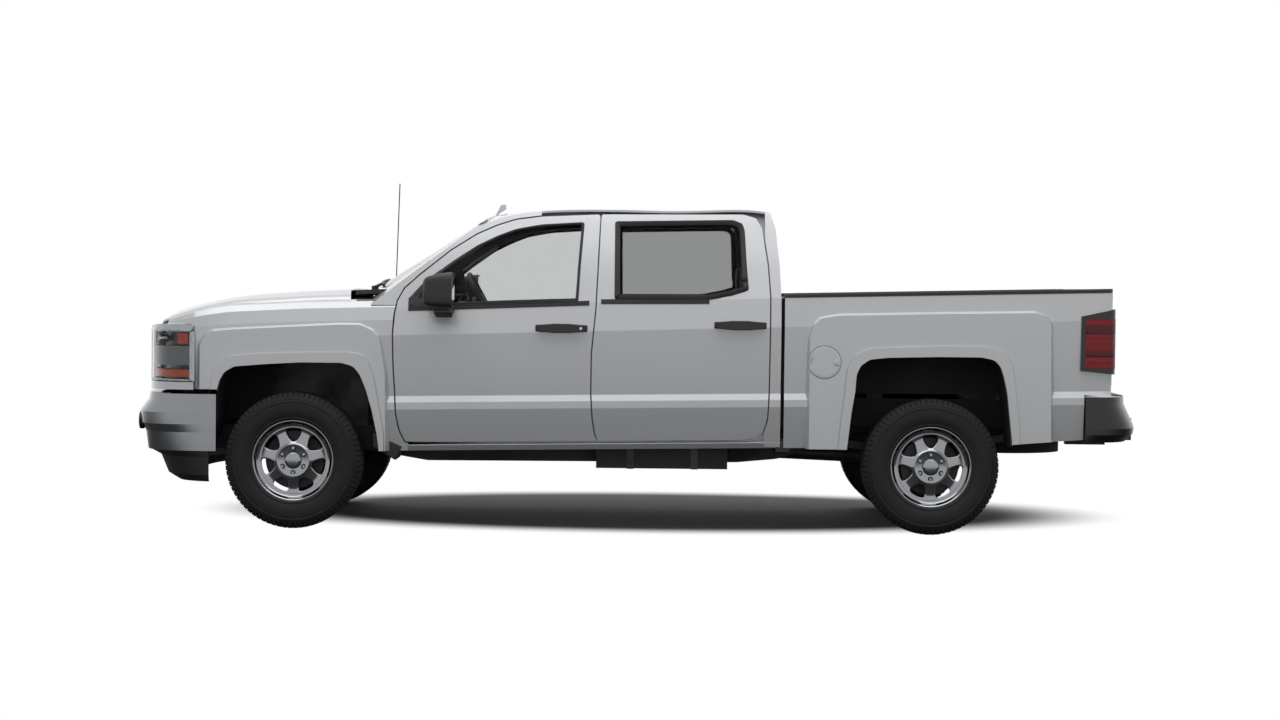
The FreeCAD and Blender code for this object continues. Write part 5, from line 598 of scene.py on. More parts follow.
for side_name, sign in SIDES:
    for end, outline in WINDOWS.items():
        node, body = f"door_{end}_{side_name}", f"{end}_{side_name}_door"
        centre = [sum(p[k] for p in outline) / len(outline) for k in (0, 1)]
        seal = bmesh.new()
        seal.faces.new([seal.verts.new((x, 0, z)) for x, z in outline])
        bmesh.ops.bevel(
            seal, geom=seal.verts[:], offset=0.022, offset_type="OFFSET", affect="VERTICES", segments=4,
            profile=0.5, material=-1, clamp_overlap=True,
        )
        pane = seal.faces[:]
        bmesh.ops.inset_region(
            seal, faces=pane, thickness=0.007, use_boundary=True, use_even_offset=True, use_outset=True,
        )
        bmesh.ops.inset_region(
            seal, faces=pane, thickness=SEAL_WIDTHS[end], use_boundary=True, use_even_offset=True,
        )
        bmesh.ops.delete(seal, geom=pane, context="FACES_ONLY")
        long_edges = [edge for edge in seal.edges if edge.calc_length() > 0.06]
        bmesh.ops.subdivide_edges(seal, edges=long_edges, cuts=6, use_grid_fill=True)
        lay_on(seal, node, sign, 0.0015, centre)
        laid_piece(f"window_seal_{end}_{side_name}", seal, sign, seal_rubber, body, 9)

        belt = bmesh.new()
        low = [belt.verts.new((x, 0, z - 0.016)) for x, z in BELTS[end]]
        edge = belt.edges.new(low)
        raised = bmesh.ops.extrude_edge_only(belt, edges=[edge])["geom"]
        lifted = [item for item in raised if isinstance(item, bmesh.types.BMVert)]
        bmesh.ops.translate(belt, verts=lifted, vec=(0, 0, 0.026))
        bmesh.ops.subdivide_edges(belt, edges=belt.edges[:], cuts=12, use_grid_fill=True)
        lay_on(belt, node, sign, 0.0045, centre)
        laid_piece(f"belt_strip_{end}_{side_name}", belt, sign, seal_rubber, body, 7)


# The door handles: moulded nylon pulls, satin black, thick in the middle for the hand, with flat
# ends that carry the bright plated lock on the front doors.
def add_pull(bm, x1, x2, y_near, y_far, z, half_height):
    """A pull: a long bar that swells in the middle and narrows to its ends."""
    middle, half = (x1 + x2) / 2, (x2 - x1) / 2
    verts = add_box(bm, (x1, min(y_near, y_far), z - half_height), (x2, max(y_near, y_far), z + half_height))
    edges = {edge for vert in verts for edge in vert.link_edges}
    long_way = [edge for edge in edges if abs(edge.verts[0].co.x - edge.verts[1].co.x) > half]
    bmesh.ops.subdivide_edges(bm, edges=long_way, cuts=11)
    for vert in bm.verts:
        share = abs(vert.co.x - middle) / half
        swell = 1 - 0.27 * max(0.0, (share - 0.40) / 0.60) ** 0.7
        vert.co.z = z + (vert.co.z - z) * swell


def add_side_box(bm, sign, x_range, outward, z_range):
    """Adds a box on one side of the truck, from its ranges along it, outward from its middle, and up."""
    y1, y2 = sorted((sign * outward[0], sign * outward[1]))
    return add_box(bm, (x_range[0], y1, z_range[0]), (x_range[1], y2, z_range[1]))


handle_nylon = moulded_plastic("satin_nylon", "#131415", 0.35, 2, 0.05)
lock_metal = plated("lock_barrel", "#c4c6c8", 0.25, 4)
HANDLES = {"front": (-0.561, -0.300, 1.160), "rear": (0.459, 0.720, 1.187)}
for side_name, sign in SIDES:
    for end, (x1, x2, z) in HANDLES.items():
        body = f"{end}_{side_name}_door"
        skin = touch(f"door_{end}_{side_name}", (x1 - 0.03, sign * LOOK_FROM, z), (0, -sign, 0)).y
        pull = bmesh.new()
        add_pull(pull, x1 - 0.003, x2 + 0.003, skin + sign * 0.004, sign * 1.0225, z, 0.0265)
        piece(f"door_pull_{end}_{side_name}", pull, handle_nylon, body, 3)
        pads = bmesh.new()
        outward = (sign * skin - 0.004, sign * skin + 0.010)
        for pad_x in (x1 + 0.013, x2 - 0.010):
            add_side_box(pads, sign, (pad_x - 0.030, pad_x + 0.030), outward, (z - 0.020, z + 0.020))
        piece(f"pull_pads_{end}_{side_name}", pads, handle_nylon, body, 7)
    barrel = bmesh.new()
    add_rod(barrel, (-0.318, sign * 1.012, 1.160), (-0.318, sign * 1.0238, 1.160), 0.008, 20)
    piece(f"door_lock_{side_name}", barrel, lock_metal, f"front_{side_name}_door", 1)


# The mirrors: a two-part moulded housing on a folding arm, with a grained shell, a smoother cap
# and a silvered glass sunk in its rear. The arm stands on a black panel in the window's corner.
mirror_shell = moulded_plastic("grained_mirror_shell", "#191a1b", 0.5, 2.5, 0.1)
mirror_cap = moulded_plastic("smooth_mirror_cap", "#242628", 0.3, 8, 0.02)
silvered = {"Base Color": linear("#d5d8da"), "Metallic": 1.0, "Roughness": 0.02}
silvered = finish_of("silvered_glass", silvered)[0]
SAIL = [(-1.306, 1.262), (-1.306, 1.320), (-1.213, 1.423), (-1.128, 1.488), (-1.108, 1.40), (-1.085, 1.262)]
# The left housing's rear rim, and the middle that it tapers toward.
RIM_X, MIDDLE_Y, MIDDLE_Z = -1.028, -1.1475, 1.371


def sink_rear(bm, beyond_x, border, depth):
    """Leaves a border round the faces that lie beyond an x, and pushes what it holds forward."""
    faces = [face for face in bm.faces if face.calc_center_median().x > beyond_x]
    bmesh.ops.inset_region(bm, faces=faces, thickness=border, use_boundary=True, use_even_offset=True)
    bmesh.ops.translate(bm, verts=list({v for f in faces for v in f.verts}), vec=(-depth, 0, 0))


for side_name, sign in SIDES:
    body = f"front_{side_name}_door"
    shell = bmesh.new()
    add_box(shell, (-1.205, -1.250, 1.268), (RIM_X, -1.045, 1.474))
    bmesh.ops.subdivide_edges(shell, edges=shell.edges[:], cuts=2, use_grid_fill=True)
    for vert in shell.verts:
        share = (RIM_X - vert.co.x) / 0.177
        shrink = 1 - 0.24 * share ** 2
        vert.co.y = MIDDLE_Y + (vert.co.y - MIDDLE_Y) * shrink
        vert.co.z = MIDDLE_Z + (vert.co.z - MIDDLE_Z) * shrink - 0.010 * share
    sink_rear(shell, RIM_X - 0.001, 0.010, 0.014)
    glass = bmesh.new()
    add_box(glass, (-1.040, -1.236, 1.283), (-1.036, -1.059, 1.459))
    cap = bmesh.new()
    add_box(cap, (-1.196, -1.254, 1.300), (-1.060, -1.225, 1.446))
    for vert in cap.verts:
        share = (-1.060 - vert.co.x) / 0.136
        vert.co.y += 0.024 * share ** 2 + (0.006 if vert.co.y < -1.24 else 0)
        vert.co.z = MIDDLE_Z + (vert.co.z - MIDDLE_Z) * (1 - 0.25 * share)
    arm = bmesh.new()
    add_rod(arm, (-1.105, -1.110, 1.262), (-1.105, -1.110, 1.290), 0.032, 24)
    for vert in add_box(arm, (-1.145, -1.140, 1.255), (-1.060, -0.950, 1.292)):
        if vert.co.y > -1.0:
            vert.co.z -= 0.020
            vert.co.x += 0.018 if vert.co.x > -1.1 else -0.018
    foot = bmesh.new()
    for vert in add_box(foot, (-1.180, -0.975, 1.215), (-1.050, -0.940, 1.282)):
        if vert.co.z < 1.23:
            vert.co.x += 0.035 if vert.co.x < -1.1 else -0.004
    if sign > 0:
        for bm in (shell, glass, cap, arm, foot):
            bmesh.ops.scale(bm, vec=(1, -1, 1), verts=bm.verts)
    replaced = [f"mirror_{side_name}"]
    made = piece(f"mirror_shell_{side_name}", shell, mirror_shell, body, 0, replaced)
    if "sharp_edge" in made.data.attributes:
        made.data.attributes.remove(made.data.attributes["sharp_edge"])
    soft = made.modifiers.new("soft_shell", "SUBSURF")
    soft.levels = soft.render_levels = 2
    piece(f"mirror_glass_{side_name}", glass, silvered, body, 1)
    piece(f"mirror_cap_{side_name}", cap, mirror_cap, body, 8)
    piece(f"mirror_arm_{side_name}", arm, mirror_shell, body, 6)
    piece(f"mirror_foot_{side_name}", foot, mirror_shell, body, 6)
    sail = bmesh.new()
    sail.faces.new([sail.verts.new((x, 0, z)) for x, z in SAIL])
    bmesh.ops.triangulate(sail, faces=sail.faces[:])
    bmesh.ops.subdivide_edges(sail, edges=sail.edges[:], cuts=4, use_grid_fill=True)
    lay_on(sail, f"door_front_{side_name}", sign, 0.0022, (-0.7, 1.5))
    laid_piece(f"mirror_sail_{side_name}", sail, sign, mirror_cap, body, 8)


# The headlamps: a clear polycarbonate cover over a chromed reflector, with a dark inner frame,
# two round bowls, a chromed border round it and an amber turn lamp below. A red marker is behind.
lamp_clear = finish_of("clear_polycarbonate", {
    "Base Color": linear("#f4f5f5"), "Transmission Weight": 1.0, "Roughness": 0.01, "IOR": 1.12,
})[0]
lamp_dark = moulded_plastic("lamp_inner_frame", "#1a1a1c", 0.3, 6, 0.05)
lamp_grey = plated("satin_lamp_reflector", "#5c5e61", 0.3)
bright_chrome = plated("bright_chrome", "#a0a2a5", 0.08)
amber = finish_of("amber_lens", {"Base Color": linear("#86300a"), "Roughness": 0.25, "IOR": 1.45})[0]
side_red = finish_of("red_marker_lens", {"Base Color": linear("#8e2c24"), "Roughness": 0.25, "IOR": 1.45})[0]


def outer_skin(node, side, keep, planes=()):
    """A copy of a CAD node's outer faces on one side, without what lies beyond any of the planes."""
    skin = bmesh.new()
    skin.from_mesh(frame["nodes"][node].data)
    bmesh.ops.remove_doubles(skin, verts=skin.verts, dist=0.00002)
    doomed = [face for face in skin.faces if face.calc_center_median().y * side < 0 or not keep(face)]
    bmesh.ops.delete(skin, geom=doomed, context="FACES")
    for place, normal in planes:
        geometry = skin.verts[:] + skin.edges[:] + skin.faces[:]
        bmesh.ops.bisect_plane(
            skin, geom=geometry, dist=0.00001, plane_co=place, plane_no=normal, clear_outer=True,
        )
    return skin


def facing_out(side, ahead, least, steepest):
    """Picks the faces that look to a side, or ahead (-1) or back (1), by the least share of their
    normal that points there, and leaves the steeper ones at the top and bottom."""
    def keep(face):
        across = face.normal.x * ahead > least or face.normal.y * side > least
        return abs(face.normal.z) < steepest and across
    return keep


def skin_piece(name, bm, inward, depth_mm, material):
    """A skin moved inward, with its wall, fixed to the truck."""
    bmesh.ops.translate(bm, verts=bm.verts, vec=inward)
    return thicken(riding(name, bm, material, "chassis", 40), depth_mm)


# Each part inside the lamp follows its cover: the range it takes along the truck and up, how far in
# it lies, its wall in millimetres, and its finish.
LAMP_PARTS = [
    ("cover", -3, 0, 0, 2, 0, 3, lamp_clear, "lamp_front"),
    ("bowl", -3, -2.535, 0.832, 1.158, 0.075, 4, lamp_dark, "lamp_front"),
    ("top_frame", -3, -2.53, 1.118, 1.160, 0.006, 40, bright_chrome, "chrome_trim"),
    ("rear_frame", -2.556, -2.52, 0.836, 1.12, 0.006, 30, bright_chrome, "chrome_trim"),
    ("foot_frame", -3, -2.53, 0.831, 0.846, 0.006, 50, bright_chrome, "chrome_trim"),
    ("fin", -3, -2.557, 0.925, 1.035, 0.014, 8, lamp_grey, "chrome_trim"),
    ("amber", -3, -2.570, 0.856, 0.900, 0.022, 8, amber, "lamp_front"),
    ("marker", -2.640, -2.575, 1.048, 1.108, 0.018, 8, side_red, "lamp_rear"),
]
for side_name, sign in SIDES:
    for kind, x1, x2, z1, z2, depth, wall_mm, material, slot in LAMP_PARTS:
        planes = (
            ((x1, 0, 0), (-1, 0, 0)), ((x2, 0, 0), (1, 0, 0)),
            ((0, 0, z1), (0, 0, -1)), ((0, 0, z2), (0, 0, 1)),
        )
        skin = outer_skin("headlamps", sign, facing_out(sign, -1, 0.25, 0.7), planes)
        inward = Vector((0.9, -sign * 0.45, 0)) * depth
        made = skin_piece(f"lamp_{kind}_{side_name}", skin, inward, wall_mm, material)
        if kind == "cover":
            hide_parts("headlamps")
    bowls = bmesh.new()
    for bowl_y in (0.665, 0.795):
        front = touch("headlamps", (-3.2, sign * bowl_y, 1.078), (1, 0, 0))
        lip = Vector((front.x + 0.022, sign * bowl_y, 1.078))
        add_rod(bowls, lip, lip + Vector((0.055, 0, 0)), 0.036, 28, 0.014)
    piece(f"lamp_reflectors_{side_name}", bowls, bright_chrome, "chassis", 2)


# The grille: a frame of moulded plastic with bars across, plated bright, and behind it a black
# screen with a mesh of small hexagonal holes, clipped into the nose.
clothe(bright_chrome, "grille")
screen, tree, shader = finish_of("black_hexagon_screen", {"Roughness": 0.5, "IOR": 1.49})
coordinates = add_node(tree, "ShaderNodeTexCoord").outputs["Object"]
parts = add_node(tree, "ShaderNodeSeparateXYZ", {0: coordinates}).outputs
flat = add_node(tree, "ShaderNodeCombineXYZ", {0: parts[1], 1: parts[2]}).outputs[0]
# The holes are 14 mm across and 16 mm apart, in rows.
cells = {"Vector": flat, "Scale": 1000 / 16, "Randomness": 0.0}
cells = add_node(tree, "ShaderNodeTexVoronoi", cells).outputs["Distance"]
# The holes are painted near black in their middles and lighter toward their edges: painted shade seen through
# them.
tone = {0: cells, 6: linear("#030303"), 7: linear("#2c2d2f")}
tone = add_node(tree, "ShaderNodeMix", tone, data_type="RGBA").outputs[2]
tree.links.new(tone, shader.inputs["Base Color"])
bump = add_node(tree, "ShaderNodeBump", {"Height": cells, "Strength": 1.0, "Distance": 0.004})
tree.links.new(bump.outputs[0], shader.inputs["Normal"])
clothe(screen, "grille_mesh")


# The air baffles: black plastic plates that close the space between the radiator and the grille's
# ends, clipped to the radiator's sides.
baffles = bmesh.new()
for sign in (-1, 1):
    add_side_box(baffles, sign, (-2.712, -2.706), (0.385, 0.600), (0.760, 1.100))
piece("air_baffles", baffles, liner_black, "chassis", 1)


# The front bumper: pressed steel with bright chrome, bolted to the rails. Black inserts carry the
# round lamps, and the tow hooks are forged steel, painted black.
clothe(plated("chromed_bumper_steel", "#85878a", 0.12, 120), "front_bumper")
hooks, inserts, lamps = bmesh.new(), bmesh.new(), bmesh.new()
for sign in (-1, 1):
    front = touch("front_bumper", (-3.3, sign * 0.46, 0.56), (1, 0, 0))
    eye = Vector((front.x, sign * 0.46, 0.56))
    for shank_y in (-0.028, 0.028):
        add_rod(hooks, eye + Vector((0.03, shank_y, 0)), eye + Vector((0, shank_y, 0)), 0.011, 14)
    add_rod(hooks, eye + Vector((-0.002, -0.039, 0)), eye + Vector((-0.002, 0.039, 0)), 0.011, 14)
    front = touch("front_bumper", (-3.3, sign * 0.72, 0.60), (1, 0, 0))
    rim, lens = front + Vector((-0.003, 0, 0)), front + Vector((-0.005, 0, 0))
    add_rod(inserts, front + Vector((0.02, 0, 0)), rim, 0.052, 32)
    add_rod(lamps, rim, lens, 0.040, 32)
piece("tow_hooks", hooks, chassis_paint, "chassis", 2)
piece("bumper_inserts", inserts, trim_black, "chassis", 3)
piece("bumper_lamps", lamps, lamp_clear, "chassis", 1)


# The splash guards: moulded black wedges screwed under the body behind the front wheels and before the bed,
# which keep stones off the sills. Flat black flaps inside the wheelhouses are painted shade, a dark sheet
# where the view through would be in shade.
guards, shade_flaps = bmesh.new(), bmesh.new()
for sign in (-1, 1):
    for vert in add_side_box(guards, sign, (-1.50, -1.335), (0.70, 0.968), (0.395, 0.475)):
        if vert.co.x < -1.4:
            vert.co.z += 0.075
        if vert.co.z < 0.42:
            vert.co.x -= 0.035
    for vert in add_side_box(guards, sign, (0.795, 0.885), (0.70, 0.955), (0.462, 0.530)):
        if vert.co.z > 0.5 and vert.co.x < 0.82:
            vert.co.x += 0.02
    add_side_box(shade_flaps, sign, (-2.44, -2.135), (0.549, 0.553), (0.60, 0.985))
    add_side_box(shade_flaps, sign, (1.215, 2.15), (0.600, 0.604), (0.60, 0.765))
piece("splash_guards", guards, trim_black, "chassis", 5)
piece("wheelhouse_shade_flaps", shade_flaps, liner_black, "chassis")


# The wipers: painted steel arms on the cowl, each with a rubber blade that rests on the glass. Both
# are a dull black.
wipers = bmesh.new()
for pivot_y, tip_y in ((-0.62, 0.02), (0.06, 0.62)):
    points = []
    for share in (0.0, 0.25, 0.5, 0.75, 1.0):
        y = pivot_y + (tip_y - pivot_y) * share
        x = -1.545 + 0.035 * share + 0.10 * (y / 0.8) ** 2
        hit = touch("fixed_glass", (x, y, 2.2), (0, 0, -1)) or touch("cowl", (x, y, 2.2), (0, 0, -1))
        points.append(Vector((x, y, (hit.z if hit is not None else 1.38) + 0.014)))
    for first, second in zip(points, points[1:]):
        add_rod(wipers, first, second, 0.008, 8)
    pivot_x = points[0].x - 0.05
    base = touch("cowl", (pivot_x, pivot_y, 2.2), (0, 0, -1))
    low = base.z if base is not None else 1.36
    add_rod(wipers, (pivot_x, pivot_y, low - 0.005), (pivot_x, pivot_y, low + 0.022), 0.016, 16)
    add_rod(wipers, (pivot_x, pivot_y, low + 0.016), points[1], 0.0075, 8)
piece("wipers", wipers, trim_black, "chassis")


# The aerials: a sprung steel mast in black on the right fender, and a moulded fin, painted silver
# like the panels, on the roof near its front edge.
mast_ahead = ("Object", (1, 0, 0), False, -1.2, "#3a3c3e", 0.4)
clothe(silver_clearcoat("silver_fin_and_black_mast", mast_ahead), "aerials")


# The bed: a pressed steel floor with long ribs, spot welded to its walls and painted with them.
# Tie-down loops are bolted in its corners.
def floor_height(x):
    """The bed floor's top: it climbs by 95 mm in the 3.645 m between the hubs."""
    return 0.767 + (x + 1.956) * 0.095 / 3.645


RIB_COUNT, RIB_PITCH = 9, 0.13
ribs = bmesh.new()
for row in range(RIB_COUNT):
    y = -0.52 + row * RIB_PITCH
    for vert in add_box(ribs, (0.90, y - 0.034, -0.004), (2.615, y + 0.034, 0.009)):
        vert.co.z += floor_height(vert.co.x)
        if vert.co.z > floor_height(vert.co.x) + 0.005:
            vert.co.y += 0.010 if vert.co.y < y else -0.010
piece("bed_floor_ribs", ribs, panel_paint, "chassis", 3)
loops = bmesh.new()
for sign in (-1, 1):
    for x in (0.96, 2.56):
        wall = touch("bed_sides", (x, 0, 1.28), (0, sign, 0))
        if wall is not None:
            near, far = wall.y + sign * 0.004, wall.y - sign * 0.028
            for leg_x in (x - 0.03, x + 0.03):
                add_rod(loops, (leg_x, near, 1.28), (leg_x, far, 1.27), 0.006, 12)
            bar_y = wall.y - sign * 0.026
            add_rod(loops, (x - 0.036, bar_y, 1.27), (x + 0.036, bar_y, 1.27), 0.006, 12)
piece("tie_down_loops", loops, bare_steel, "chassis")


# The wheelhouses stand up inside the bed: pressed steel covers over the liners, painted like the
# bed and welded to its floor.
BED_FLOOR_TOP = 0.845
for side_name, sign in SIDES:
    house = outer_skin(
        "rear_liners", sign, lambda face: face.normal.z - face.normal.y * sign > 0.1,
        [((0, 0, BED_FLOOR_TOP), (0, 0, -1))],
    )
    inward = (0, -sign * 0.0015, 0.0015)
    skin_piece(f"bed_wheelhouse_{side_name}", house, inward, 1.2, panel_paint)


# The gap strips: two strips of black rubber on the bed's front corners, standing in the gap behind the cab as
# painted shade where that gap is dark.
gap_shade_strips = bmesh.new()
for sign in (-1, 1):
    add_side_box(gap_shade_strips, sign, (0.829, 0.846), (0.895, 0.901), (0.600, 1.345))
piece("gap_shade_strips", gap_shade_strips, seal_rubber, "chassis")


# The fuel door: a round flap of pressed steel, hinged inside the bed's left wall and painted with
# it. It has a dark shut line round it and a finger scoop at its rear edge.
def side_disc(radius, segments, x, z):
    """A flat round disc that stands upright along the truck."""
    disc = bmesh.new()
    bmesh.ops.create_circle(disc, cap_ends=True, cap_tris=True, segments=segments, radius=radius)
    upright = Matrix.Rotation(math.radians(90), 3, "X")
    bmesh.ops.rotate(disc, verts=disc.verts, cent=(0, 0, 0), matrix=upright)
    bmesh.ops.translate(disc, verts=disc.verts, vec=(x, 0, z))
    return disc


FLAP_X, FLAP_Z = 1.072, 0.983
for name, radius, lift, material, slot, depth_mm in (
    ("fuel_flap_gap", 0.0955, 0.0006, seal_rubber, "black_trim", 3),
    ("fuel_flap", 0.0925, 0.0014, panel_paint, "body_paint", 2),
):
    flap = side_disc(radius, 64, FLAP_X, FLAP_Z)
    spokes = [edge for edge in flap.edges if edge.calc_length() > radius * 0.5]
    bmesh.ops.subdivide_edges(flap, edges=spokes, cuts=4)
    lay_on(flap, "bed_sides", -1, lift)
    laid_piece(name, flap, -1, material, "chassis", depth_mm)
scoop = side_disc(0.022, 32, FLAP_X + 0.074, FLAP_Z)
for vert in scoop.verts:
    vert.co.x = min(vert.co.x, FLAP_X + 0.086)
lay_on(scoop, "bed_sides", -1, 0.0030)
# The scoop takes the silver paint whose downward faces carry painted shade.
laid_piece("fuel_flap_scoop", scoop, -1, paint_with_shade_below, "chassis", 2)


# The tailgate: a double steel panel with a pressed field, a black moulding on its top edge, and a
# handle bezel in the middle with a pull and a small round camera, all clipped or screwed on.
def box_piece(name, boxes, material, body, bevel_mm=0):
    """A piece made of plain boxes, each from its low corner to its high one."""
    bm = bmesh.new()
    for low, high in boxes:
        add_box(bm, low, high)
    return piece(name, bm, material, body, bevel_mm)


field = bmesh.new()
add_box(field, (2.705, -0.735, 0.925), (2.719, 0.735, 1.285))
sink_rear(field, 2.7185, 0.045, 0.004)
piece("tailgate_field", field, panel_paint, "tailgate_lid", 3)
bezel = bmesh.new()
add_box(bezel, (2.708, -0.125, 1.298), (2.722, 0.125, 1.382))
sink_rear(bezel, 2.7215, 0.012, 0.010)
piece("tailgate_bezel", bezel, trim_black, "tailgate_lid", 2)
bar = [((2.712, -0.095, 1.336), (2.7225, 0.095, 1.366))]
box_piece("tailgate_pull", bar, handle_nylon, "tailgate_lid", 4)
eye = bmesh.new()
add_rod(eye, (2.711, 0, 1.318), (2.721, 0, 1.318), 0.010, 24)
piece("tailgate_camera", eye, lamp_dark, "tailgate_lid", 1)
top_edge = [((2.658, -0.828, 1.402), (2.7175, 0.828, 1.4165))]
box_piece("tailgate_moulding", top_edge, trim_black, "tailgate_lid", 4)


# The tail lamps: red acrylic lenses in black bezels, screwed to the bed's corners. Their cells are
# stacked, in a clear red and a deeper one.
clothe(lamp_dark, "tail_lamps")
acrylic = {"Roughness": 0.15, "IOR": 1.49, "Specular IOR Level": 0.3}
red_lens, tree, shader = finish_of("red_acrylic", acrylic)
place = add_node(tree, "ShaderNodeTexCoord").outputs["Object"]
# The lens is moulded inside with optic ribs 9 mm apart, drawn at 35.53 mm so that they show. A wave
# repeats every tau / 20 metres at a scale of 1.
optics = {"Vector": place, "Scale": 1000 / 35.53 * math.tau / 20, "Distortion": 0.4}
optics = add_node(tree, "ShaderNodeTexWave", optics, bands_direction="Z").outputs[0]
tone = {0: optics, 6: linear("#7c0614"), 7: linear("#9c0a1e")}
tone = add_node(tree, "ShaderNodeMix", tone, data_type="RGBA").outputs[2]
tree.links.new(tone, shader.inputs["Base Color"])
dark_red = finish_of("deep_red_acrylic", {"Base Color": linear("#5a0713"), **acrylic})[0]
LENS_CELLS = [
    ("top", 1.202, 1.246, red_lens), ("upper", 1.158, 1.200, dark_red), ("middle", 1.060, 1.156, red_lens),
    ("deep", 1.030, 1.058, dark_red), ("lower", 0.962, 1.028, red_lens),
]
for side_name, sign in SIDES:
    for cell, z1, z2, material in LENS_CELLS:
        planes = (
            ((2.556, 0, 0), (-1, 0, 0)), ((0, 0, z1), (0, 0, -1)), ((0, 0, z2), (0, 0, 1)),
            ((0, sign * 0.872, 0), (0, -sign, 0)),
        )
        skin = outer_skin("tail_lamps", sign, facing_out(sign, 1, 0.3, 0.6), planes)
        outward = (0.002, sign * 0.002, 0)
        skin_piece(f"tail_lens_{cell}_{side_name}", skin, outward, 5, material)


# The rear bumper: pressed steel in glossy black enamel, with ribbed plastic step pads on top, a dull
# black recess for the number plate, and a square hitch tube below. The plate is a blank of white
# enamelled sheet.
clothe(moulded_plastic("gloss_black_enamel", "#0b0b0c", 0.18, 60, 0.05), "rear_bumper")
# The pads' ribs lie where the bumper's top is higher than this at both ends and in the middle.
STEP_LEVEL = 0.785
PAD_ROWS, PAD_PITCH = 6, 0.018
pads = bmesh.new()
for sign in (-1, 1):
    for row in range(PAD_ROWS):
        x = 2.775 + row * PAD_PITCH
        y1, y2 = sorted((sign * 0.26, sign * 0.74))
        tops = [touch("rear_bumper", (x + 0.008, y, 1.2), (0, 0, -1)) for y in (y1, sign * 0.5, y2)]
        if None not in tops and min(top.z for top in tops) > STEP_LEVEL:
            add_box(pads, (x - 0.006, y1, tops[1].z - 0.004), (x + 0.006, y2, tops[1].z + 0.004))
piece("bumper_step_pads", pads, trim_black, "chassis", 1.5)
back_x = touch("rear_bumper", (3.3, 0, 0.66), (-1, 0, 0)).x
holder = bmesh.new()
add_box(holder, (back_x - 0.02, -0.19, 0.575), (back_x, 0.19, 0.745))
sink_rear(holder, back_x - 0.001, 0.012, 0.006)
piece("plate_holder", holder, trim_black, "chassis", 2)
enamel = finish_of("white_enamel", {"Base Color": linear("#d9dad8"), "Roughness": 0.3, "Coat Weight": 0.5})[0]
blank = [((back_x - 0.007, -0.152, 0.583), (back_x - 0.004, 0.152, 0.737))]
box_piece("blank_plate", blank, enamel, "chassis", 1)
hitch = bmesh.new()
add_box(hitch, (back_x - 0.30, -0.032, 0.475), (back_x - 0.06, 0.032, 0.539))
sink_rear(hitch, back_x - 0.061, 0.007, 0.12)
piece("hitch_tube", hitch, chassis_paint, "chassis", 2)


# The high brake lamp: a low moulded housing, screwed to the cab's back above the rear window. It
# is a dull black, with a strip of red acrylic across it.
wall_x = touch("cab_back", (1.4, 0, 1.79), (-1, 0, 0)).x
housing = [((wall_x - 0.01, -0.19, 1.768), (wall_x + 0.018, 0.19, 1.806))]
box_piece("high_lamp_housing", housing, trim_black, "chassis", 4)
strip = [((wall_x + 0.012, -0.15, 1.776), (wall_x + 0.0205, 0.15, 1.798))]
box_piece("high_lamp_lens", strip, red_lens, "chassis", 2)


# The dashboard: soft-touch polyurethane skin over foam, charcoal, with a gauge hood, dark glass
# screens and round chromed vents. The steering wheel is wrapped in grained leather, nearly black.
dash_skin = moulded_plastic("soft_touch_skin", "#242527", 0.62, 4, 0.25)
clothe(dash_skin, "dashboard")
clothe(moulded_plastic("grained_leather", "#1b1b1c", 0.45, 5, 0.2), "steering_wheel")
gauges = bmesh.new()
for vert in add_box(gauges, (-1.16, -0.58, 1.285), (-1.03, -0.26, 1.350)):
    if vert.co.x > -1.1 and vert.co.z < 1.3:
        vert.co.x -= 0.05
piece("gauge_hood", gauges, dash_skin, "chassis", 14)
dark_glass = finish_of("dark_screen_glass", {
    "Base Color": linear("#08090a"), "Roughness": 0.08, "IOR": 1.5, "Coat Weight": 1.0,
})[0]
face_x = touch("dashboard", (-0.5, 0.0, 1.19), (-1, 0, 0)).x
screens = [
    ((face_x - 0.004, -0.115, 1.14), (face_x + 0.006, 0.115, 1.245)),
    ((-1.085, -0.55, 1.292), (-1.079, -0.29, 1.336)),
]
box_piece("dash_screens", screens, dark_glass, "chassis", 2)
vents = bmesh.new()
for y in (-0.70, -0.20, 0.20, 0.66):
    hit = touch("dashboard", (-0.5, y, 1.20), (-1, 0, 0))
    if hit is not None:
        add_rod(vents, (hit.x - 0.01, y, 1.20), (hit.x + 0.008, y, 1.20), 0.040, 28)
piece("dash_vents", vents, bright_chrome, "chassis", 3)


# The seats: foam pads over steel frames, covered in a dark grey flat-woven cloth and sewn with
# welted seams. They are crowned by the foam and drawn in where the cover is tied down.
cloth, tree, shader = finish_of("flat_woven_cloth", {
    "Roughness": 0.9, "Sheen Weight": 0.35, "Sheen Roughness": 0.5, "IOR": 1.45,
})
place = add_node(tree, "ShaderNodeTexCoord").outputs["Object"]
# The threads are under a millimetre apart; the weave is drawn at 19.74 mm so that it shows.
weave = {"Vector": place, "Scale": 1000 / 19.74 * math.tau / 20}
threads = [add_node(tree, "ShaderNodeTexWave", weave, bands_direction=way).outputs[0] for way in "XYZ"]
crossed = add_node(tree, "ShaderNodeMath", {0: threads[0], 1: threads[1]}, operation="MULTIPLY").outputs[0]
crossed = add_node(tree, "ShaderNodeMath", {0: crossed, 1: threads[2]}, operation="ADD").outputs[0]
tone = {0: crossed, 6: linear("#2a2b2d"), 7: linear("#3d3e40")}
tone = add_node(tree, "ShaderNodeMix", tone, data_type="RGBA").outputs[2]
tree.links.new(tone, shader.inputs["Base Color"])
bump = add_node(tree, "ShaderNodeBump", {"Height": crossed, "Strength": 0.4, "Distance": 0.0006})
tree.links.new(bump.outputs[0], shader.inputs["Normal"])


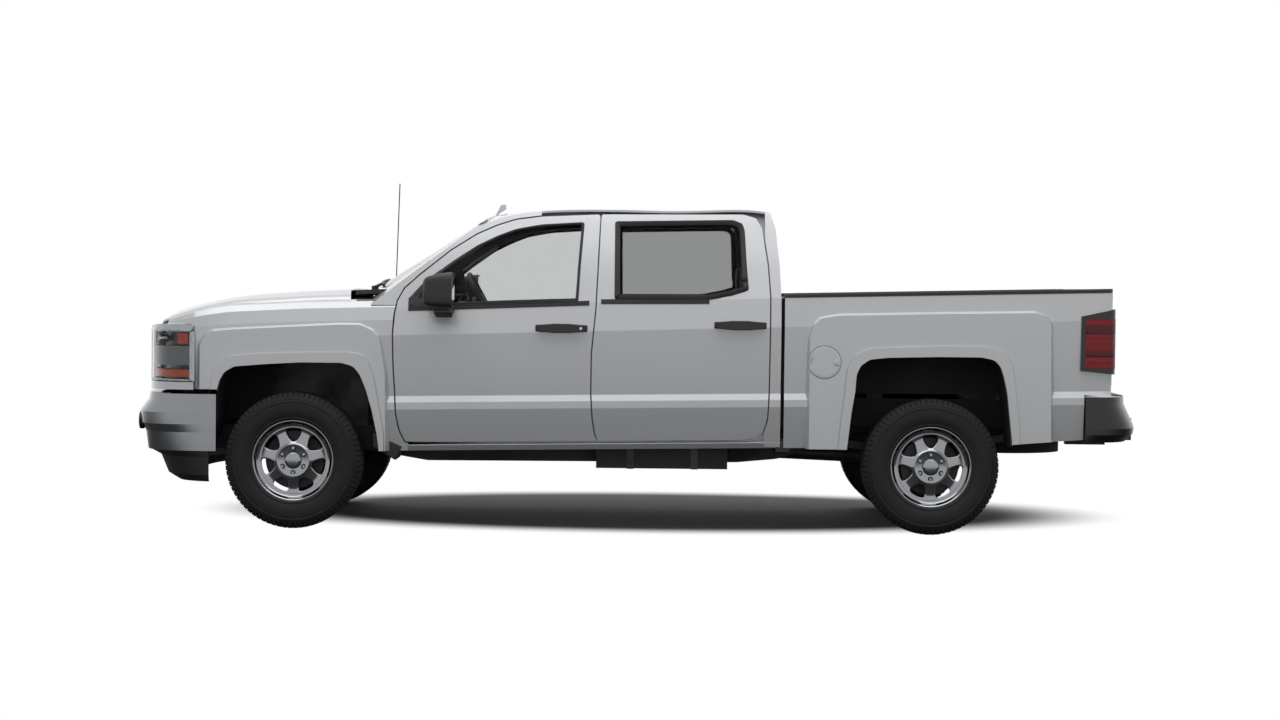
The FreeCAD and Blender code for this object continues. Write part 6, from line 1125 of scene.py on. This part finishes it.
def pad(name, corners, y_range, panels, replaced=()):
    """A foam pad from its four side-view corners: crowned, with sewn lines between its panels."""
    bm = bmesh.new()
    add_box(bm, (0, 0, 0), (1, 1, 1))
    bmesh.ops.subdivide_edges(bm, edges=bm.edges[:], cuts=11, use_grid_fill=True)
    (ax, az), (bx, bz), (cx, cz), (dx, dz) = corners
    y1, y2 = y_range
    for vert in bm.verts:
        u, v, w = vert.co
        crown = 1 - 0.10 * (1 - math.sin(math.pi * min(max(u, 0.02), 0.98)) ** 0.5)
        seam = min(abs(v - panel) for panel in panels)
        tie = 0.07 * math.exp(-(seam / 0.035) ** 2)
        w = 0.5 + (w - 0.5) * (crown - tie if w > 0.5 else 1)
        u = 0.5 + (u - 0.5) * (1 - 0.03 * (2 * v - 1) ** 4)
        low = Vector((ax + (bx - ax) * u, az + (bz - az) * u))
        high = Vector((dx + (cx - dx) * u, dz + (cz - dz) * u))
        place = low + (high - low) * w
        vert.co = (place.x, y1 + (y2 - y1) * v, place.y)
    made = piece(name, bm, cloth, "chassis", 0, replaced)
    soft = made.modifiers.new("stuffing", "SUBSURF")
    soft.levels = soft.render_levels = 1


# Where the sewn lines run, as shares of a pad's width; a head restraint has none.
FRONT_PANELS = (0.2, 0.8)
BENCH_PANELS = (0.16, 0.38, 0.62, 0.84)
NO_PANELS = (-1,)
CUSHION = [(-0.790, 0.745), (-0.279, 0.707), (-0.269, 0.837), (-0.780, 0.875)]
BACKREST = [(-0.323, 0.754), (-0.134, 1.404), (-0.249, 1.4375), (-0.438, 0.7875)]
HEAD_RESTRAINT = [(-0.134, 1.4365), (-0.134, 1.606), (-0.229, 1.606), (-0.229, 1.4365)]
BENCH = [(0.236, 0.735), (0.650, 0.707), (0.659, 0.837), (0.245, 0.865)]
BENCH_BACK = [(0.596, 0.754), (0.705, 1.319), (0.587, 1.342), (0.478, 0.777)]
REAR_RESTRAINT = [(0.705, 1.3515), (0.705, 1.5215), (0.610, 1.5215), (0.610, 1.3515)]
SEAT_Y = 0.42
SEAT_HALF = 0.258
RESTRAINT_HALF = 0.13
BENCH_SPAN = (-0.688, 0.688)
for side_name, sign in SIDES:
    y = sign * SEAT_Y
    seat, restraint = (y - SEAT_HALF, y + SEAT_HALF), (y - RESTRAINT_HALF, y + RESTRAINT_HALF)
    pad(f"seat_cushion_{side_name}", CUSHION, seat, FRONT_PANELS, ["front_seats"])
    pad(f"seat_back_{side_name}", BACKREST, seat, FRONT_PANELS)
    pad(f"head_restraint_{side_name}", HEAD_RESTRAINT, restraint, NO_PANELS)
    pad(f"rear_head_restraint_{side_name}", REAR_RESTRAINT, restraint, NO_PANELS)
pad("bench_cushion", BENCH, BENCH_SPAN, BENCH_PANELS, ["rear_seat"])
pad("bench_back", BENCH_BACK, BENCH_SPAN, BENCH_PANELS)
bases, stems = bmesh.new(), bmesh.new()
for y in (-SEAT_Y, SEAT_Y):
    add_box(bases, (-0.725, y - 0.195, 0.561), (-0.279, y + 0.195, 0.750))
    for dy in (-0.05, 0.05):
        add_rod(stems, (-0.1815, y + dy, 1.36), (-0.1815, y + dy, 1.47), 0.007, 12)
        add_rod(stems, (0.6575, y + dy, 1.28), (0.6575, y + dy, 1.39), 0.007, 12)
add_box(bases, (0.296, -0.625, 0.561), (0.650, 0.625, 0.745))
piece("seat_bases", bases, dash_skin, "chassis", 10)
piece("head_restraint_stems", stems, bright_chrome, "chassis")


# The grab handles: moulded grey plastic, dull, screwed to the windshield pillars. The cabin mirror
# is a black housing on a short stalk, glued to the windshield.
grey_trim = moulded_plastic("grey_pillar_trim", "#5e6060", 0.7, 4, 0.1)
cabin = bmesh.new()
for sign in (-1, 1):
    start, end = Vector((-1.10, sign * 0.735, 1.50)), Vector((-0.90, sign * 0.705, 1.64))
    add_rod(cabin, start, end, 0.014, 14)
    for foot in (start, end):
        add_rod(cabin, foot, foot + Vector((-0.03, sign * 0.015, 0.045)), 0.016, 14)
piece("grab_handles", cabin, grey_trim, "chassis", 0)
rear_view = bmesh.new()
add_box(rear_view, (-1.03, -0.12, 1.60), (-1.005, 0.12, 1.66))
add_rod(rear_view, (-1.03, 0, 1.64), (-1.075, 0, 1.665), 0.010, 12)
piece("cabin_mirror", rear_view, trim_black, "chassis", 8)


# The stage: the camera that the photograph was taken with, a floor, and soft studio light. The floor is
# painted a matt dark grey, which in an oval round and behind the truck stands as a painted shadow over its
# real shadow, and turns to plain white away from it.
PHOTO_WIDTH = 1280
FOCAL_PIXELS = 2623
camera_data = bpy.data.cameras.new("photo_camera")
camera_data.sensor_width = 36
camera_data.lens = camera_data.sensor_width * FOCAL_PIXELS / PHOTO_WIDTH
camera_data.clip_end = 300
camera = bpy.data.objects.new("photo_camera", camera_data)
bpy.context.scene.collection.objects.link(camera)
# The photograph looks a little to the left and down from level, and leans by 0.62 degrees.
look = Vector((-5 / FOCAL_PIXELS, 1, -70 / FOCAL_PIXELS)).to_track_quat("-Z", "Y").to_matrix().to_4x4()
lean = Matrix.Rotation(math.radians(0.62), 4, "Z")
camera.matrix_world = Matrix.Translation((0.049, -15.93, 1.383)) @ look @ lean
bpy.context.scene.camera = camera

sheet = bmesh.new()
bmesh.ops.create_grid(sheet, x_segments=1, y_segments=1, size=90)
floor_mesh = bpy.data.meshes.new("studio_floor")
sheet.to_mesh(floor_mesh)
sheet.free()
floor = bpy.data.objects.new("studio_floor", floor_mesh)
bpy.context.scene.collection.objects.link(floor)
painted_shadow_floor, tree, shader = finish_of("floor_paint_with_painted_shadow", {"Base Color": linear("#4c4c4c"), "Roughness": 0.9})
place = add_node(tree, "ShaderNodeTexCoord").outputs["Object"]
# Inside an oval round the truck and reaching behind it, the dark grey floor is kept as a painted shadow over
# the real one; outside the oval it turns to white. In reflections it turns white only farther off, so that
# the flanks reflect the dark floor as painted shade.
shadow_oval = {0: place, 1: (-0.15, -0.5, 0)}
shadow_oval = add_node(tree, "ShaderNodeVectorMath", shadow_oval, operation="ADD").outputs[0]
shadow_oval = {0: shadow_oval, 1: (0.345, 0.61, 0.0)}
shadow_oval = add_node(tree, "ShaderNodeVectorMath", shadow_oval, operation="MULTIPLY").outputs[0]
reach = add_node(tree, "ShaderNodeVectorMath", {0: shadow_oval}, operation="LENGTH").outputs["Value"]
rays = add_node(tree, "ShaderNodeLightPath").outputs
clear = {0: rays["Is Camera Ray"], 1: rays["Is Transmission Ray"]}
clear = add_node(tree, "ShaderNodeMath", clear, operation="MAXIMUM").outputs[0]
fades = []
for start, end, rays_there in ((0.72, 1.02, clear), (2.0, 5.0, rays["Is Glossy Ray"])):
    fade = {"Value": reach, "From Min": start, "From Max": end}
    fade = add_node(tree, "ShaderNodeMapRange", fade, interpolation_type="SMOOTHSTEP").outputs[0]
    fades.append(add_node(tree, "ShaderNodeMath", {0: fade, 1: rays_there}, operation="MULTIPLY").outputs[0])
white = add_node(tree, "ShaderNodeMath", {0: fades[0], 1: fades[1]}, operation="MAXIMUM").outputs[0]
glow = add_node(tree, "ShaderNodeEmission", {"Color": (1, 1, 1, 1), "Strength": 1.0})
both = add_node(tree, "ShaderNodeMixShader", {0: white, 1: shader.outputs[0], 2: glow.outputs[0]})
output = next(item for item in tree.nodes if item.type == "OUTPUT_MATERIAL")
tree.links.new(both.outputs[0], output.inputs["Surface"])
floor_mesh.materials.append(painted_shadow_floor)

world = bpy.data.worlds.new("studio")
bpy.context.scene.world = world
world.use_nodes = True
tree = world.node_tree
tree.nodes.clear()
rays = add_node(tree, "ShaderNodeLightPath").outputs
seen = {0: rays["Is Camera Ray"], 1: rays["Is Glossy Ray"]}
seen = add_node(tree, "ShaderNodeMath", seen, operation="MAXIMUM").outputs[0]
seen = {0: seen, 1: rays["Is Transmission Ray"]}
seen = add_node(tree, "ShaderNodeMath", seen, operation="MAXIMUM").outputs[0]
strength = add_node(tree, "ShaderNodeMapRange", {"Value": seen, "To Min": 0.45, "To Max": 1.0}).outputs[0]
background = add_node(tree, "ShaderNodeBackground", {"Color": (1, 1, 1, 1), "Strength": strength})
add_node(tree, "ShaderNodeOutputWorld", {"Surface": background.outputs[0]})

for name, place, target, size, power in (
    ("overhead_softbox", (0.0, -2.4, 7.5), (0, 0.3, 0), (10, 6), 370),
    ("back_softbox", (1.5, 6.0, 6.5), (0, 0, 0.8), (7, 3), 90),
):
    data = bpy.data.lights.new(name, "AREA")
    data.shape = "RECTANGLE"
    data.size, data.size_y = size
    data.energy = power
    lamp = bpy.data.objects.new(name, data)
    bpy.context.scene.collection.objects.link(lamp)
    lamp.location = place
    lamp.rotation_euler = (Vector(target) - Vector(place)).to_track_quat("-Z", "Y").to_euler()

bpy.context.scene.view_settings.view_transform = "Standard"
